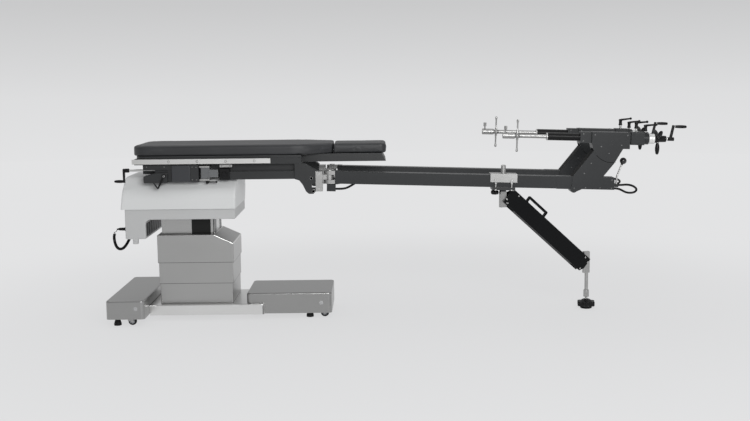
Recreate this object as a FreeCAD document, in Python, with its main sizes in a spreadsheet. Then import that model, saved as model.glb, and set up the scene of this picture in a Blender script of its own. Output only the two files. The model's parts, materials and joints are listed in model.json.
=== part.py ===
import FreeCAD, Part

import math
import os

import Sketcher
from FreeCAD import Placement, Rotation, Vector

# An orthopaedic operating table with two leg spars and a traction unit on each.
# Millimetres, +X towards the foot end, -Y the side of the tilt gearbox, +Z up.
# The origin lies on the floor under the middle of the whole table.

SIZES = {
    # Base, covers and casters
    "base_left": -1710, "base_half_width": 394,
    "head_block_length": 225, "head_block_bottom": 44, "head_block_top": 154,
    "foot_block_left": -906, "foot_block_length": 510, "foot_block_half_width": 211,
    "foot_block_bottom": 32, "foot_block_top": 156,
    "cover_wall": 3, "cover_edge_radius": 8, "cover_corner_radius": 22,
    "chassis_half_width": 235, "chassis_bottom": 32, "chassis_top": 95,
    "chassis_right": -800, "chassis_nose_radius": 14,
    "beam_inner": 180, "beam_outer": 228, "beam_bottom": 45,
    "foot_beam_inner": 70, "foot_beam_outer": 120, "foot_link_length": 60,
    "cross_beam_bottom": 72, "cross_beam_top": 132, "cross_beam_margin": 22,
    "cover_seat": 30,
    "head_cross_left": -1690, "head_cross_right": -1545,
    "foot_cross_left": -575, "foot_cross_right": -405,
    "caster_margin": 54, "foot_caster_margin": 51,
    "head_swivel": -1584, "foot_swivel": -458, "caster_trail": 18,
    "wheel_radius": 25, "wheel_half_width": 9, "wheel_tread": 4, "axle_radius": 4,
    "fork_wall": 3, "fork_gap": 1, "fork_plate": 4, "fork_plate_radius": 20,
    "fork_rest": 0.5, "swivel_radius": 6, "swivel_depth": 40,
    "head_lock_foot": -1654, "foot_lock_foot": -530,
    "lock_foot_radius": 22, "lock_foot_top": 36, "lock_foot_neck": 14,
    "lock_foot_edge": 12, "lock_stem_radius": 8, "lock_stem_top": 118,
    "running_gap": 0.05, "sliding_gap": 0.5, "clear_gap": 1,
    "cap_radius": 12, "cap_proud": 1.5, "cap_height": 62, "cap_inset": 52,
    # Telescopic column and its covers
    "column_middle": -1254.5, "mast_half_length": 158.5, "mast_half_depth": 150,
    "mast_wall": 8, "mast_bottom": 240, "mast_top": 640,
    "guide_wall": 6, "guide_top": 325,
    "flange_bottom": 80, "foundation_bottom": 45, "foundation_top": 57,
    "jack_radius": 32, "jack_top": 425, "jack_rod_radius": 20, "jack_rod_bottom": 262,
    "lower_cover_left": -1425, "lower_cover_right": -989, "lower_cover_half": 190,
    "lower_cover_top": 261, "column_step": 4, "column_wall": 2,
    "wiper_height": 10,
    "middle_cover_bottom": 216, "middle_cover_top": 380,
    "upper_cover_step": 6, "upper_cover_bottom": 343, "roof_top": 512,
    "roof_shoulder": 460, "roof_break": -1093.5,
    # Tilt joint inside the column head
    "tilt_height": 700, "ear_inner": 60, "ear_wall": 20, "ear_half": 45, "ear_top": 738,
    "trunnion_radius": 15, "cross_half": 42, "cross_half_depth": 54, "cross_half_height": 28,
    "saddle_gap": 50, "saddle_wall": 25, "saddle_half_depth": 50, "saddle_bottom": 672,
    "saddle_plate_bottom": 800, "saddle_plate_top": 820, "saddle_plate_half": 200,
    "saddle_plate_half_depth": 160,
    "post_radius": 22, "post_reach": 140, "post_half_spread": 120,
    # Column head housing
    "housing_left": -1632, "housing_left_top": -1612, "housing_right": -955,
    "housing_right_top": -945, "housing_half": 260, "housing_seam": 674,
    "housing_shoulder": 770, "housing_top": 862, "housing_top_half": 185,
    "housing_round": 55, "housing_end_round": 14, "housing_wall": 4,
    "tub_left": -1610, "tub_right": -958, "tub_half": 250, "tub_bottom": 612,
    "tub_leg_right": -1490, "tub_leg_bottom": 497, "tub_arch_radius": 30, "tub_wall": 3,
    "tub_opening_gap": 36, "tub_opening_side_gap": 46,
    "tub_stop_left": -1568, "tub_stop_size": 30,
    "socket_side": -200, "socket_height": 552, "socket_radius": 9, "socket_length": 34,
    # Table frame, panel, rails and pads
    "frame_left": -1500, "frame_bottom": 880, "frame_top": 937, "web_inner": 190,
    "web_wall": 25, "bar_left": -990, "bar_right": -588, "bar_bottom": 845,
    "bar_top": 892, "bar_wall": 25, "bracket_outer": 258,
    "cross_tube_bottom": 890, "cross_tube_top": 930, "cross_tube_half": 20,
    "tray_left": -1540, "tray_right": -560, "tray_half": 262, "tray_lip": 12,
    "tray_flange": 4, "tray_top": 972,
    "panel_top": 986.7, "panel_margin": 4, "panel_corner": 60,
    "rail_left": -1548, "rail_length": 809, "rail_height": 28.6, "rail_wall": 9.5,
    "rail_outer": 290, "rail_middle": 957.5, "rail_first_bolt": 215,
    "rail_bolt_pitch": 167, "rail_bolt_radius": 7, "rail_bolt_head": 2.5,
    "rail_spacer_radius": 8,
    "pad_left": -1560, "pad_right": -378, "pad_half": 260, "pad_neck_half": 150,
    "pad_neck_start": -560, "pad_head_corner": 95, "pad_bottom": 987, "pad_top": 1050,
    "pad_round": 16,
    "seat_pad_right": -58, "seat_pad_top": 1047, "pad_seam_gap": 2, "seat_pad_corner": 35,
    "board_right_top": -85, "board_right_bottom": -62, "board_bottom": 940,
    "board_top": 986.7, "board_half": 165,
    # Tilt gearbox, crank and locks beside the frame
    "gear_left": -1490, "gear_block_bottom": 900, "gear_block_top": 935,
    "gear_block_front": 262, "gear_front": 285, "gear_case_left": -1484,
    "gear_case_right": -1345, "gear_case_bottom": 833, "gear_slope_left": 872,
    "gear_slope_middle": -1420, "gear_slope_top": 893, "gear_slope_fall": 4,
    "motor_left": -1322, "motor_right": -1212, "motor_bottom": 836, "motor_front": 275,
    "motor_round": 6, "stop_block_right": -1163, "stop_block_front": 270,
    "crank_height": 906, "crank_side": 255, "crank_shaft_radius": 7,
    "crank_shaft_left": -1572, "crank_hub_radius": 12, "crank_hub_length": 26,
    "crank_throw": 64, "crank_arm_wall": 12, "crank_arm_half": 8,
    "crank_grip_length": 64, "crank_grip_radius": 9,
    "lock_lever_x": -1364, "lock_lever_height": 873, "lock_lever_hub": 13,
    "lock_lever_wall": 9, "lock_lever_reach": 74, "lock_lever_drop": -36,
    "clamp_left": -1160, "clamp_right": -1101, "clamp_front": 262, "clamp_bar": 9,
    "clamp_top": 928, "clamp_bottom": 842, "clamp_block_bottom": 862,
    "clamp_block_top": 906, "latch_block_right": -1050,
    "clamp_knob_x": -1116, "clamp_knob_radius": 8, "clamp_knob_bottom": 824,
    "clamp_lever_length": 54,
    # Spar hinge
    "spar_pivot": -398, "spar_side": 210, "spar_height": 852, "droop": 1.88,
    "hinge_plate_left": -478, "hinge_plate_right": -438, "hinge_plate_bottom": 771,
    "hinge_plate_top": 889, "hinge_plate_inner": 190, "hinge_plate_outer": 262,
    "claw_heel": 96, "claw_step": 8, "claw_back": 76, "claw_back_rise": 40, "claw_toe": 57,
    "claw_sole": 40, "claw_drop": 14, "claw_lip": 18, "claw_mouth": 25,
    "claw_shoulder": 62,
    "tongue_half": 15, "tongue_radius": 26, "pin_radius": 12, "yoke_radius": 33,
    "yoke_half": 38, "yoke_back": 34, "yoke_right": 62, "bracket_bolt_radius": 9,
    "upper_bolt_x": -503, "upper_bolt_z": 850, "lower_bolt_x": -492, "lower_bolt_z": 773,
    # Spars, in the frame of the spar: x along it from the hinge, z square to it
    "spar_half_width": 37.5, "spar_half": 36, "spar_wall": 4, "spar_start": 58,
    "sleeve_start": 1340, "sleeve_wall": 1.5, "end_box_start": 1431, "end_box_end": 1680,
    "unit_half_width": 45, "hump_x": 1442, "hump_drop": 38, "hump_radius": 20,
    "upright_lean_left": 1560, "upright_lean_top": 206, "upright_foot": 1608,
    "upright_right": 1674, "upright_right_height": 121,
    "head_pivot_x": 1656, "head_pivot_z": 242, "head_radius": 117, "cheek_wall": 9,
    "cheek_radius": 40, "head_pin_radius": 12,
    "head_left": 1536, "head_right": 1760, "head_top": 302, "head_bottom": 206,
    "head_chin": 1721, "core_half": 25, "core_bottom": 244, "core_lid": 12,
    "head_corner_run": 12, "head_corner_rise": 28, "head_chin_rise": 10,
    "front_block_left": 1470, "front_block_half": 32, "rear_box_left": 1768,
    "rear_box_right": 1846, "rear_box_half": 38, "collar_right": 1874, "collar_radius": 35,
    # Traction spindle, rod and boot clamp, about the traction axis
    "axis_height": 268, "tube_radius": 22.5, "tube_left": 1275, "ring_left": 1876,
    "ring_right": 1910, "ring_radius": 29.5, "wheel_hub_right": 1980,
    "wheel_hub_radius": 20, "grip_middle": 1932, "grip_start": 24, "grip_end": 93,
    "grip_root": 4,
    "grip_radius": 13, "rod_radius": 12, "rod_end": 1480, "bore_end": 1700,
    "coupling_x": 1103, "coupling_half": 9, "coupling_radius": 17, "handle_reach": 90,
    "handle_radius": 4, "handle_ball": 6, "boot_left": 1017, "boot_right": 1090,
    "boot_radius": 16, "boot_bore_radius": 8, "boot_bore_depth": 52,
    "boot_knob_x": 1033, "boot_knob_radius": 9, "boot_knob_top": 56,
    "far_rod_shift": -80, "drive_radius": 8, "drive_start": 1900, "drive_hub_left": 1990,
    "drive_hub_right": 2027, "drive_hub_radius": 11, "drive_throw": 74,
    "drive_arm_half": 7, "drive_grip_radius": 9, "drive_grip_end": 2098,
    # Clamp levers on the traction unit
    "first_lever_x": 1802, "second_lever_x": 1857, "lever_stud_radius": 7,
    "first_stud": 20, "second_stud": 8, "lever_hub": 38, "lever_hub_radius": 9,
    "lever_length": 70, "lever_arm_radius": 4, "lever_ball": 6.5, "lever_rise": 7,
    "near_lever_turn": -44, "far_lever_turn": 16,
    # Release lever with its cable
    "release_x": 1699, "release_z": -13, "release_hub": 9, "release_rod_radius": 4.5,
    "release_knee_x": 1702, "release_knee_z": 40, "release_ball_x": 1735,
    "release_ball_z": 133, "release_ball": 20, "cable_radius": 6.5,
    "cable_slot_left": 130, "cable_slot_right": 165,
    "ferrule_radius": 8.5, "brake_bottom": 84, "brake_left": -14, "brake_half": 18,
    # Support leg under the near spar, in the frame of its swivel pin
    "bracket_x": 1028, "bracket_half_length": 79, "bracket_wall": 8,
    "bracket_skirt": -6, "bracket_crown": 44, "crown_radius": 14, "crown_flange": 22,
    "crown_height": 46, "stud_reach": 47, "stud_radius": 5, "stud_end": -54,
    "lower_bar_half_length": 68, "lower_bar_bottom": -52,
    "boss_radius": 20, "boss_bottom": 755, "boss_top": 780,
    "knob_radius": 24, "knob_bottom": -84, "knob_top": -54, "knob_lobes": 5, "knob_lobe_inset": 4,
    "swivel_x": 629, "swivel_turn": 21.1, "post_half": 19, "post_bar_half": 12,
    "post_low": 660, "post_high": 754.5, "post_spigot": 12,
    "arm_pivot": 17, "arm_height": 708, "arm_run": 553, "arm_drop": 411,
    "arm_angle": 40.8, "arm_below": -25, "arm_above": 75, "arm_lead": 10,
    "arm_length": 700, "arm_half": 22, "arm_wall": 3, "arm_open_end": 84,
    "arm_notch": 15, "arm_pin_radius": 6,
    "arm_handle_left": 116, "arm_handle_right": 280, "arm_handle_rise": 40,
    "arm_handle_bar": 14, "leg_bar_left": 559, "leg_bar_right": 598, "leg_bar_half": 12,
    "leg_bar_top": 355, "leg_bar_bottom": 222, "leg_axis": 582, "leg_tube_radius": 11,
    "leg_tube_bottom": 114, "leg_nut_radius": 17, "leg_nut_bottom": 72,
    "stem_radius": 7, "stem_top": 160, "foot_radius": 36, "foot_top": 10,
    "foot_wheel_bottom": 10.5, "foot_wheel_top": 58, "foot_wheel_radius": 44,
    "foot_wheel_rim": 7, "foot_lobe_radius": 15, "foot_lobes": 6,
    # Hand control and its curly cord
    "curl_radius": 9, "lead_radius": 3.5, "pendant_side": 30, "pendant_half": 30,
    "pendant_depth": 28, "pendant_bottom": 540, "pendant_height": 130,
    "pendant_round": 6, "holder_wall": 3,
}

NEAR = -1
FAR = 1

doc = FreeCAD.newDocument("operating_table")
sheet = doc.addObject("Spreadsheet::Sheet", "sizes")
for row, (alias, number) in enumerate(SIZES.items(), start=1):
    sheet.set(f"A{row}", alias)
    sheet.set(f"B{row}", str(number))
    sheet.setAlias(f"B{row}", alias)
doc.recompute()


class Size:
    """A length or angle that knows its value and the sheet expression that gives it."""

    def __init__(self, text, value):
        self.text = text
        self.value = float(value)

    def __add__(self, other):
        other = as_size(other)
        return Size(f"({self.text} + {other.text})", self.value + other.value)

    def __sub__(self, other):
        other = as_size(other)
        return Size(f"({self.text} - {other.text})", self.value - other.value)

    def __mul__(self, other):
        other = as_size(other)
        return Size(f"({self.text} * {other.text})", self.value * other.value)

    def __truediv__(self, other):
        other = as_size(other)
        return Size(f"({self.text} / {other.text})", self.value / other.value)

    def __neg__(self):
        return Size(f"(0 - {self.text})", -self.value)

    def __radd__(self, other):
        return as_size(other) + self

    def __rsub__(self, other):
        return as_size(other) - self

    def __rmul__(self, other):
        return as_size(other) * self


def as_size(number):
    """Takes a Size or a plain number and gives a Size."""
    if isinstance(number, Size):
        return number
    return Size(repr(float(number)), number)


class Dimensions:
    """The named sizes of the sheet, each read from its cell."""

    def __getattr__(self, alias):
        return Size(f"sizes.{alias}", sheet.get(alias))


d = Dimensions()


def sine(angle):
    return Size(f"sin({angle.text} * 1 deg)", math.sin(math.radians(angle.value)))


def cosine(angle):
    return Size(f"cos({angle.text} * 1 deg)", math.cos(math.radians(angle.value)))


def bind(item, name, size):
    """Ties one property of an object to the sheet."""
    item.setExpression(name, as_size(size).text)


def put(item, x=0, y=0, z=0):
    """Ties the place of an object to the sheet."""
    bind(item, "Placement.Base.x", x)
    bind(item, "Placement.Base.y", y)
    bind(item, "Placement.Base.z", z)
    return item


def box(name, xs, ys, zs):
    """A block between a low and a high bound on each axis."""
    item = doc.addObject("Part::Box", name)
    bind(item, "Length", as_size(xs[1]) - xs[0])
    bind(item, "Width", as_size(ys[1]) - ys[0])
    bind(item, "Height", as_size(zs[1]) - zs[0])
    return put(item, xs[0], ys[0], zs[0])


AXIS_TURN = {
    "x": Rotation(Vector(0, 1, 0), 90),
    "y": Rotation(Vector(1, 0, 0), -90),
    "z": Rotation(),
}


def along(axis, centre, start):
    """The three coordinates of a point at start on the axis through centre."""
    if axis == "x":
        return start, centre[0], centre[1]
    if axis == "y":
        return centre[0], start, centre[1]
    return centre[0], centre[1], start


def rod(name, axis, centre, span, radius):
    """A cylinder along an axis; centre gives its other two coordinates."""
    item = doc.addObject("Part::Cylinder", name)
    item.Placement = Placement(Vector(), AXIS_TURN[axis])
    bind(item, "Radius", radius)
    bind(item, "Height", as_size(span[1]) - span[0])
    return put(item, *along(axis, centre, span[0]))


def ball(name, centre, radius):
    item = doc.addObject("Part::Sphere", name)
    bind(item, "Radius", radius)
    return put(item, *centre)


def fuse(name, *items):
    item = doc.addObject("Part::MultiFuse", name)
    item.Shapes = list(items)
    return item


def cut(name, base, *tools):
    item = doc.addObject("Part::Cut", name)
    item.Base = base
    item.Tool = tools[0] if len(tools) == 1 else fuse(name + "_tools", *tools)
    return item


def common(name, *items):
    item = doc.addObject("Part::MultiCommon", name)
    item.Shapes = list(items)
    return item


def group(name, *items):
    item = doc.addObject("Part::Compound", name)
    item.Links = list(items)
    return item


def origin_plane(body, role):
    for feature in body.Origin.OriginFeatures:
        if feature.Role == role:
            return feature
    raise RuntimeError("no plane " + role)


def outline(body, role, points, height=0):
    """A closed outline of straight lines on an origin plane, tied to the sheet."""
    sketch = body.newObject("Sketcher::SketchObject", body.Name + "_outline")
    sketch.AttachmentSupport = (origin_plane(body, role), [""])
    sketch.MapMode = "FlatFace"
    bind(sketch, "AttachmentOffset.Base.z", height)
    corners = [(as_size(x), as_size(y)) for x, y in points]
    for number, (x, y) in enumerate(corners):
        next_x, next_y = corners[(number + 1) % len(corners)]
        start = Vector(x.value, y.value, 0)
        sketch.addGeometry(Part.LineSegment(start, Vector(next_x.value, next_y.value, 0)))
    for number in range(len(corners)):
        following = (number + 1) % len(corners)
        sketch.addConstraint(Sketcher.Constraint("Coincident", number, 2, following, 1))
    for number, corner in enumerate(corners):
        for kind, size in zip(("DistanceX", "DistanceY"), corner):
            rule = Sketcher.Constraint(kind, -1, 1, number, 1, size.value)
            bind(sketch, f"Constraints[{sketch.addConstraint(rule)}]", size)
    return sketch


def slab(name, role, points, low, high):
    """A body padded from an outline on the XY, XZ or YZ plane, between two heights."""
    body = doc.addObject("PartDesign::Body", name)
    start = -as_size(high) if role == "XZ_Plane" else as_size(low)
    pad = body.newObject("PartDesign::Pad", name + "_pad")
    pad.Profile = outline(body, role, points, start)
    bind(pad, "Length", as_size(high) - low)
    body.Tip = pad
    return body


def lathe(name, axis, centre, points):
    """A turned body: points are (place along the axis, radius), closed on the axis."""
    body = doc.addObject("PartDesign::Body", name)
    turn = body.newObject("PartDesign::Revolution", name + "_turn")
    if axis == "x":
        sketch = outline(body, "XY_Plane", points)
        turn.Profile = sketch
        turn.ReferenceAxis = (sketch, ["H_Axis"])
    else:
        role = "XZ_Plane" if axis == "z" else "XY_Plane"
        sketch = outline(body, role, [(radius, place) for place, radius in points])
        turn.Profile = sketch
        turn.ReferenceAxis = (sketch, ["V_Axis"])
    turn.Angle = 360
    body.Tip = turn
    return put(body, *centre)


def round_edges(body, radius, wanted):
    """Rounds the edges of a body that the test wants, given their two end points."""
    doc.recompute()
    base = body.Tip
    names = []
    for number, edge in enumerate(base.Shape.Edges, start=1):
        if len(edge.Vertexes) == 2 and wanted(edge.Vertexes[0].Point, edge.Vertexes[1].Point):
            names.append(f"Edge{number}")
    if not names:
        raise RuntimeError("no edge to round on " + body.Name)
    fillet = body.newObject("PartDesign::Fillet", body.Name + "_round")
    fillet.Base = (base, names)
    bind(fillet, "Radius", radius)
    body.Tip = fillet
    return body


TINY = 1e-4


def runs_along(axis, first, second):
    """Whether the line between two points lies along the axis."""
    other = [abs(getattr(first, a) - getattr(second, a)) for a in "xyz" if a != axis]
    return max(other) < TINY


def at(point, axis, size):
    return abs(getattr(point, axis) - size.value) < TINY


def turned(item, axis, angle, x=0, y=0, z=0):
    """Sets an object made about the origin at a place, turned by an angle."""
    item.Placement = Placement(Vector(), Rotation(axis, 1))
    bind(item, "Placement.Rotation.Angle", angle)
    return put(item, x, y, z)


X_AXIS = Vector(1, 0, 0)
Y_AXIS = Vector(0, 1, 0)
Z_AXIS = Vector(0, 0, 1)


def on_spar(item, side):
    """Sets an object that is drawn in the frame of a spar on that spar."""
    return turned(item, Y_AXIS, d.droop, d.spar_pivot, d.spar_side * side, d.spar_height)


def on_swivel(item):
    """Sets an object that is drawn in the frame of the support leg under its pin."""
    return turned(item, Z_AXIS, d.swivel_turn, d.swivel_x, -d.spar_side)


NODES = []


def node(label, item):
    """Names a finished sub-part."""
    item.Label = label
    NODES.append(item)
    return item


def mirrored_span(side, inner, outer):
    """The span between two distances from the middle plane, on one side of it."""
    if side == NEAR:
        return -as_size(outer), -as_size(inner)
    return as_size(inner), as_size(outer)


def route_tube(name, points, radius):
    """A tube along straight runs joined by tangent arcs, as large as the runs allow."""
    path = [Vector(*point) for point in points]
    edges = []
    last = path[0]
    for before, corner, after in zip(path, path[1:], path[2:]):
        inward = (corner - before).normalize()
        outward = (after - corner).normalize()
        half_turn = inward.getAngle(outward) / 2
        trim = 0.45 * min(before.distanceToPoint(corner), corner.distanceToPoint(after))
        start = corner - inward * trim
        end = corner + outward * trim
        bisector = (outward - inward).normalize()
        arc_radius = trim / math.tan(half_turn)
        middle = corner + bisector * (arc_radius / math.cos(half_turn) - arc_radius)
        edges.append(Part.LineSegment(last, start).toShape())
        edges.append(Part.Arc(start, middle, end).toShape())
        print(f"{name}: arc radius {arc_radius:.1f} mm")
        last = end
    edges.append(Part.LineSegment(last, path[-1]).toShape())
    wire = Part.Wire(edges)
    heading = (path[1] - path[0]).normalize()
    ring = Part.Wire(Part.makeCircle(radius, path[0], heading))
    solid = wire.makePipeShell([ring], True, False)
    section = math.pi * radius * radius
    print(f"{name}: volume over section times length {solid.Volume / section / wire.Length:.4f}")
    return solid


def half_box(name, xs, half, zs):
    """A block that reaches as far to both sides of the middle plane."""
    return box(name, xs, (-as_size(half), half), zs)


def corners_plan(left, right, half):
    return [(left, -half), (right, -half), (right, half), (left, half)]


# Base: frame, casters, floor locks and covers

head_right = d.base_left + d.head_block_length
foot_right = d.foot_block_left + d.foot_block_length
mast_left = d.column_middle - d.mast_half_length
mast_right = d.column_middle + d.mast_half_length
guide_left = mast_left - d.sliding_gap - d.guide_wall
guide_right = mast_right + d.sliding_gap + d.guide_wall
guide_half = d.mast_half_depth + d.sliding_gap + d.guide_wall
head_caster_y = d.base_half_width - d.caster_margin
foot_caster_y = d.foot_block_half_width - d.foot_caster_margin
CASTERS = {
    "head_near": (d.head_swivel, NEAR * head_caster_y),
    "head_far": (d.head_swivel, FAR * head_caster_y),
    "foot_near": (d.foot_swivel, NEAR * foot_caster_y),
    "foot_far": (d.foot_swivel, FAR * foot_caster_y),
}
LOCK_FEET = {
    "head_near": (d.head_lock_foot, NEAR * head_caster_y),
    "head_far": (d.head_lock_foot, FAR * head_caster_y),
    "foot_near": (d.foot_lock_foot, NEAR * foot_caster_y),
    "foot_far": (d.foot_lock_foot, FAR * foot_caster_y),
}


def make_base_frame():
    """The welded chassis with the fixed tube of the column."""
    pieces = []
    holes = []
    beam_top = d.chassis_top - d.cover_wall - d.sliding_gap
    link_right = d.chassis_right - d.chassis_nose_radius
    link_left = link_right - d.foot_link_length
    beam_heights = (d.beam_bottom, beam_top)
    for side in (NEAR, FAR):
        ys = mirrored_span(side, d.beam_inner, d.beam_outer)
        xs = (d.head_cross_left, link_right)
        pieces.append(box("long_beam", xs, ys, beam_heights))
        ys = mirrored_span(side, d.foot_beam_inner, d.foot_beam_outer)
        xs = (link_left, d.foot_cross_right)
        pieces.append(box("foot_beam", xs, ys, beam_heights))
    pieces.append(half_box("foot_link", (link_left, link_right), d.beam_outer, beam_heights))
    cross_heights = (d.cross_beam_bottom, d.cross_beam_top)
    head_half = d.base_half_width - d.cross_beam_margin
    foot_half = d.foot_block_half_width - d.cover_wall - d.sliding_gap
    head_xs = (d.head_cross_left, d.head_cross_right)
    pieces.append(half_box("head_cross", head_xs, head_half, cross_heights))
    foot_xs = (d.foot_cross_left, d.foot_cross_right)
    pieces.append(half_box("foot_cross", foot_xs, foot_half, cross_heights))
    seat = d.cover_seat
    for name, (left, right), half, top in (("head_seat", head_xs, head_half, d.head_block_top),
                                           ("foot_seat", foot_xs, foot_half, d.foot_block_top)):
        pieces.append(half_box(name, (left + seat, left + seat * 2), half - seat,
                               (d.cross_beam_top, top - d.cover_wall)))
    flange = (guide_left - d.guide_wall, guide_right + d.guide_wall)
    pieces.append(half_box("flange", flange, d.beam_outer, (d.flange_bottom, beam_top)))
    foundation = (d.foundation_bottom, d.foundation_top)
    pieces.append(half_box("foundation", flange, d.beam_outer, foundation))
    guide = (guide_left, guide_right)
    guide_heights = (d.foundation_bottom, d.guide_top)
    pieces.append(half_box("guide", guide, guide_half, guide_heights))
    inner = (guide_left + d.guide_wall, guide_right - d.guide_wall)
    inner_half = guide_half - d.guide_wall
    jack_centre = (d.column_middle, 0)
    holes.append(half_box("guide_inside", inner, inner_half, (d.foundation_top, d.guide_top)))
    for x, y in CASTERS.values():
        bore = d.swivel_radius + d.running_gap
        top = d.cross_beam_bottom + d.swivel_depth
        holes.append(rod("swivel_bore", "z", (x, y), (d.cross_beam_bottom, top), bore))
    for x, y in LOCK_FEET.values():
        bore = d.lock_stem_radius + d.running_gap
        heights = (d.cross_beam_bottom, d.cross_beam_top)
        holes.append(rod("lock_bore", "z", (x, y), heights, bore))
    shell = cut("chassis_shell", fuse("chassis_weld", *pieces), *holes)
    jack_bore = d.jack_rod_radius + d.running_gap
    jack = rod("jack_body", "z", jack_centre, (d.foundation_top, d.jack_top), d.jack_radius)
    jack_inside = (d.foundation_top + d.clear_gap, d.jack_top)
    jack_tube = cut("jack_tube", jack, rod("jack_bore", "z", jack_centre, jack_inside, jack_bore))
    node("base_frame", fuse("base_frame", shell, jack_tube))


def make_caster(tag, x, y):
    """A swivel caster: a fork with its stem and axle, and a wheel."""
    axle_x = x + d.caster_trail
    hub = (axle_x, d.wheel_radius)
    inner = d.wheel_half_width + d.fork_gap
    outer = inner + d.fork_wall
    plate_top = d.cross_beam_bottom - d.fork_rest
    plate_bottom = plate_top - d.fork_plate
    pieces = [rod("fork_plate", "z", (x, y), (plate_bottom, plate_top), d.fork_plate_radius)]
    stem = (plate_top, d.cross_beam_bottom + d.swivel_depth - d.clear_gap)
    pieces.append(rod("fork_stem", "z", (x, y), stem, d.swivel_radius))
    cheek_half = d.axle_radius * 2
    for side in (NEAR, FAR):
        ys = mirrored_span(side, inner, outer)
        ys = (y + ys[0], y + ys[1])
        cheek = (x - cheek_half, axle_x + cheek_half)
        pieces.append(box("cheek", cheek, ys, (d.wheel_radius, plate_top)))
        pieces.append(rod("cheek_end", "y", hub, ys, cheek_half))
    pieces.append(rod("axle", "y", hub, (y - outer, y + outer), d.axle_radius))
    node("caster_fork_" + tag, fuse("caster_fork_" + tag, *pieces))
    half = d.wheel_half_width
    bore = d.axle_radius + d.running_gap
    shoulder = d.wheel_radius - d.wheel_tread
    tread = [(-half, bore), (-half, shoulder), (-half / 2, d.wheel_radius),
             (half / 2, d.wheel_radius), (half, shoulder), (half, bore)]
    wheel = lathe("caster_wheel_" + tag, "y", (axle_x, y, d.wheel_radius), tread)
    node("caster_wheel_" + tag, wheel)


def make_floor_lock_feet():
    """Four rubber feet on stems that drop from the cross beams to hold the table still."""
    feet = []
    profile = [(0, 0), (0, d.lock_foot_radius), (d.lock_foot_edge, d.lock_foot_radius),
               (d.lock_foot_top, d.lock_foot_neck), (d.lock_foot_top, d.lock_stem_radius),
               (d.lock_stem_top, d.lock_stem_radius), (d.lock_stem_top, 0)]
    for tag, (x, y) in LOCK_FEET.items():
        feet.append(lathe("lock_foot_" + tag, "z", (x, y, 0), profile))
    node("floor_lock_feet", group("floor_lock_feet", *feet))


def base_block(name, left, right, half, bottom, top):
    """A pressed steel cover, rounded at its top and corners and open below."""
    body = slab(name, "XY_Plane", corners_plan(left, right, half), bottom, top)
    round_edges(body, d.cover_corner_radius, lambda a, b: runs_along("z", a, b))
    round_edges(body, d.cover_edge_radius, lambda a, b: at(a, "z", top) and at(b, "z", top))
    inside = half_box(name + "_inside", (left + d.cover_wall, right - d.cover_wall),
                      half - d.cover_wall, (bottom, top - d.cover_wall))
    return body, inside


def base_caps(x, half, height):
    """A round cap on the near and the far face of a base cover."""
    caps = []
    for side in (NEAR, FAR):
        ys = mirrored_span(side, half, half + d.cap_proud)
        caps.append(rod("cap", "y", (x, height), ys, d.cap_radius))
    return caps


def make_base_covers():
    body, inside = base_block("head_block", d.base_left, head_right, d.base_half_width,
                              d.head_block_bottom, d.head_block_top)
    chassis = (d.head_cross_right, d.foot_cross_left)
    opening_half = d.chassis_half_width + d.clear_gap
    opening_top = d.chassis_top + d.clear_gap
    heights = (d.chassis_bottom, opening_top)
    opening = half_box("head_opening", chassis, opening_half, heights)
    shell = cut("head_shell", body, inside, opening)
    node("head_base_cover", fuse("head_cover", shell, *base_caps(
        head_right - d.cap_inset, d.base_half_width,
        d.head_block_bottom + d.cap_height)))
    body, inside = base_block("foot_block", d.foot_block_left, foot_right,
                              d.foot_block_half_width, d.foot_block_bottom, d.foot_block_top)
    notch = (d.head_cross_right, d.chassis_right + d.clear_gap)
    notch = half_box("foot_notch", notch, opening_half, heights)
    shell = cut("foot_shell", body, inside, notch)
    node("foot_base_cover", fuse("foot_cover", shell, *base_caps(
        foot_right - d.cap_inset - d.cap_radius, d.foot_block_half_width,
        d.foot_block_bottom + d.cap_height)))


def make_chassis_cover():
    """The low cover between the base blocks, with a rounded nose and a hole for the column."""
    left = head_right + d.sliding_gap
    points = corners_plan(left, d.chassis_right, d.chassis_half_width)
    body = slab("chassis_block", "XY_Plane", points, d.chassis_bottom, d.chassis_top)
    round_edges(body, d.chassis_nose_radius,
                lambda a, b: runs_along("z", a, b) and at(a, "x", d.chassis_right))
    inside = half_box("chassis_inside", (left, d.chassis_right - d.cover_wall),
                      d.chassis_half_width - d.cover_wall,
                      (d.chassis_bottom, d.chassis_top - d.cover_wall))
    beam_way = half_box("beam_way", (d.chassis_right - d.chassis_nose_radius,
                        d.chassis_right), d.foot_beam_outer + d.sliding_gap,
                        (d.chassis_bottom, d.chassis_top - d.cover_wall))
    hole = half_box("column_hole", (guide_left - d.sliding_gap, guide_right + d.sliding_gap),
                    guide_half + d.sliding_gap, (d.chassis_bottom, d.chassis_top))
    node("chassis_cover", cut("chassis_cover_shell", body, inside, beam_way, hole))


# Column: telescopic covers and the lifting mast

def open_tube(name, xs, half, zs, wall):
    outer = half_box(name + "_outer", xs, half, zs)
    inner = half_box(name + "_inner", (xs[0] + wall, xs[1] - wall), half - wall, zs)
    return cut(name, outer, inner)


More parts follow.
